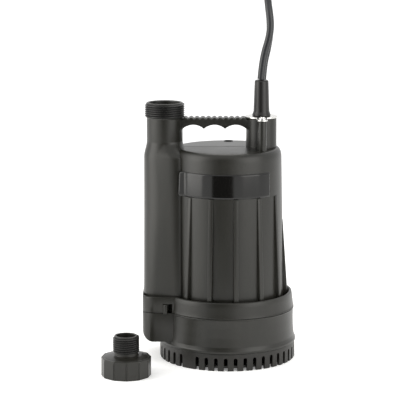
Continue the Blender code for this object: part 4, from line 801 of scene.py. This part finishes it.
for name, side in (("plug_blade_left", -1), ("plug_blade_right", 1)):
    low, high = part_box(name)
    size = high - low
    blade = bmesh.new()
    bmesh.ops.create_cube(blade, size=1, matrix=Matrix.Translation((low + high) / 2) @ Matrix.Diagonal((*size, 1)))
    bmesh.ops.bevel(
        blade, geom=blade.edges[:], offset=0.0004, affect="EDGES", segments=2, profile=0.5, material=-1
    )
    dressed(shaped(blade, name + "_brass"), drawn_brass, "pump", "brass", name)
pin_low, pin_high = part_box("plug_ground_pin")
pin_r = (pin_high.x - pin_low.x) / 2 / MM
pin_long = (pin_high.y - pin_low.y) / MM
pin_mesh = spun(rounded([(0, pin_long), (pin_r, pin_long), (pin_r, 0), (0, 0)], 1.2, closed=False), 32, False)
pin_place = Matrix.Translation(((pin_low.x + pin_high.x) / 2, pin_high.y, (pin_low.z + pin_high.z) / 2))
bmesh.ops.transform(pin_mesh, matrix=pin_place @ Matrix.Rotation(math.pi / 2, 4, "X"), verts=pin_mesh.verts)
dressed(shaped(pin_mesh, "ground_pin_brass"), drawn_brass, "pump", "brass", "plug_ground_pin")

# ---------------------------------------------------------------------------
# Hose adapter: a loose ABS fitting, a twelve-sided socket nut for the pipe
# thread with a garden-hose thread on top. It stands on its rim.

ADAPTER_AT = (-104.3, -84.1)
NUT_R, NUT_SIDES, NUT_TURN = 25.6, 12, math.radians(2.7)
SPOUT_BORE_R, HOSE_ROOT, HOSE_CREST = 9.6, 12.1, 13.45
nut_ring = []
for i in range(NUT_SIDES):
    angle = NUT_TURN + 2 * math.pi * i / NUT_SIDES
    nut_ring.append((ADAPTER_AT[0] + NUT_R * math.cos(angle), ADAPTER_AT[1] + NUT_R * math.sin(angle)))
socket = spun([(0, 16.5), (21.0, 16.5), (21.0, -2), (0, -2)], 72, False, ADAPTER_AT)
through = spun([(0, 50), (SPOUT_BORE_R, 50), (SPOUT_BORE_R, 10), (0, 10)], 48, False, ADAPTER_AT)
grip_grooves = [spun([(0, 18.0), (0.85, 18.0), (0.85, -2), (0, -2)], 12, False, at) for at in nut_ring]
nut = shaped(
    pulled(rounded(nut_ring, 0.8), 0.0, 20.0, 0.8), "adapter_nut", cuts=[socket, through, gathered(grip_grooves)]
)
dressed(nut, black_abs, "adapter", "housing_plastic", "discharge_adapter", sharp=8)
spout_outline = [
    (SPOUT_BORE_R, 41.2), (10.1, 41.8), (11.6, 41.8), (HOSE_ROOT, 41.2), (HOSE_ROOT, 22.0), (12.8, 21.5),
    (15.3, 21.4), (22.6, 20.2), (23.0, 19.0), (SPOUT_BORE_R, 19.0),
]
spout = shaped(spun(rounded(spout_outline, 0.3), 96, True, ADAPTER_AT), "adapter_spout")
dressed(spout, black_abs, "adapter", "housing_plastic")
# The hose thread's ridges and roots carry the same painted shade as the pipe thread's.
hose_thread = shaped(helix(HOSE_ROOT, HOSE_CREST, 41.0, 7.4, PITCH, ADAPTER_AT, 56), "hose_thread")
dressed(hose_thread, shaded_thread_abs, "adapter", "housing_plastic")
hose_root_outline = [(11.0, 24.6), (HOSE_ROOT + 0.08, 24.6), (HOSE_ROOT + 0.08, 40.9), (11.0, 40.9)]
hose_root = shaped(spun(hose_root_outline, 96, True, ADAPTER_AT), "hose_thread_root")
dressed(hose_root, recess_shade_finish, "adapter", "housing_plastic")

# ---------------------------------------------------------------------------
# What is inside stays as the CAD makes it: the motor, its bearings and seals,
# the impeller and the wiring, each in the finish of its own material.


def metal(name, dark, light, roughness, grain):
    """Bare metal with a grain of the given size in millimetres."""
    finish, tree, shader, place = new_finish(name, {"Metallic": 1.0, "Roughness": roughness})
    speck = add_node(tree, "ShaderNodeTexNoise", {"Scale": 1 / (grain * MM), "Detail": 3.0}, {"Vector": place})
    tinted(tree, shader, speck.outputs["Fac"], dark, light)
    relief = add_node(tree, "ShaderNodeBump", {"Strength": 0.2, "Distance": 0.0001}, {"Height": speck.outputs["Fac"]})
    tree.links.new(relief.outputs["Normal"], shader.inputs["Normal"])
    return finish


inner_finishes = {
    "housing_plastic": black_abs,
    "label_gloss": gloss_film,
    "rubber": boot_rubber,
    "cord_jacket": cord_jacket,
    "steel": stainless,
    "brass": drawn_brass,
    "cast_aluminium": metal("die_cast_aluminium", "#a9abad", "#c3c5c7", 0.42, 1.5),
    "lamination": metal("stacked_laminations", "#6b6c6e", "#8b8c8e", 0.45, 0.8),
    "copper": metal("enamelled_copper_wire", "#a4552b", "#c9763f", 0.33, 0.9),
    "inner_plastic": moulded_plastic("moulded_grey_nylon", "#3a3a3b", "#454546", 0.48, 1.0, 0.3),
    "ceramic": moulded_plastic("lapped_alumina", "#cfc9bb", "#dcd7ca", 0.30, 1.0, 0.05),
}
slots = {p["node"]: p["material_slot"] for p in frame["record"]["subparts"]}
for name, piece in frame["nodes"].items():
    if not piece.hide_render:
        piece.data.materials.clear()
        piece.data.materials.append(inner_finishes[slots[name]])
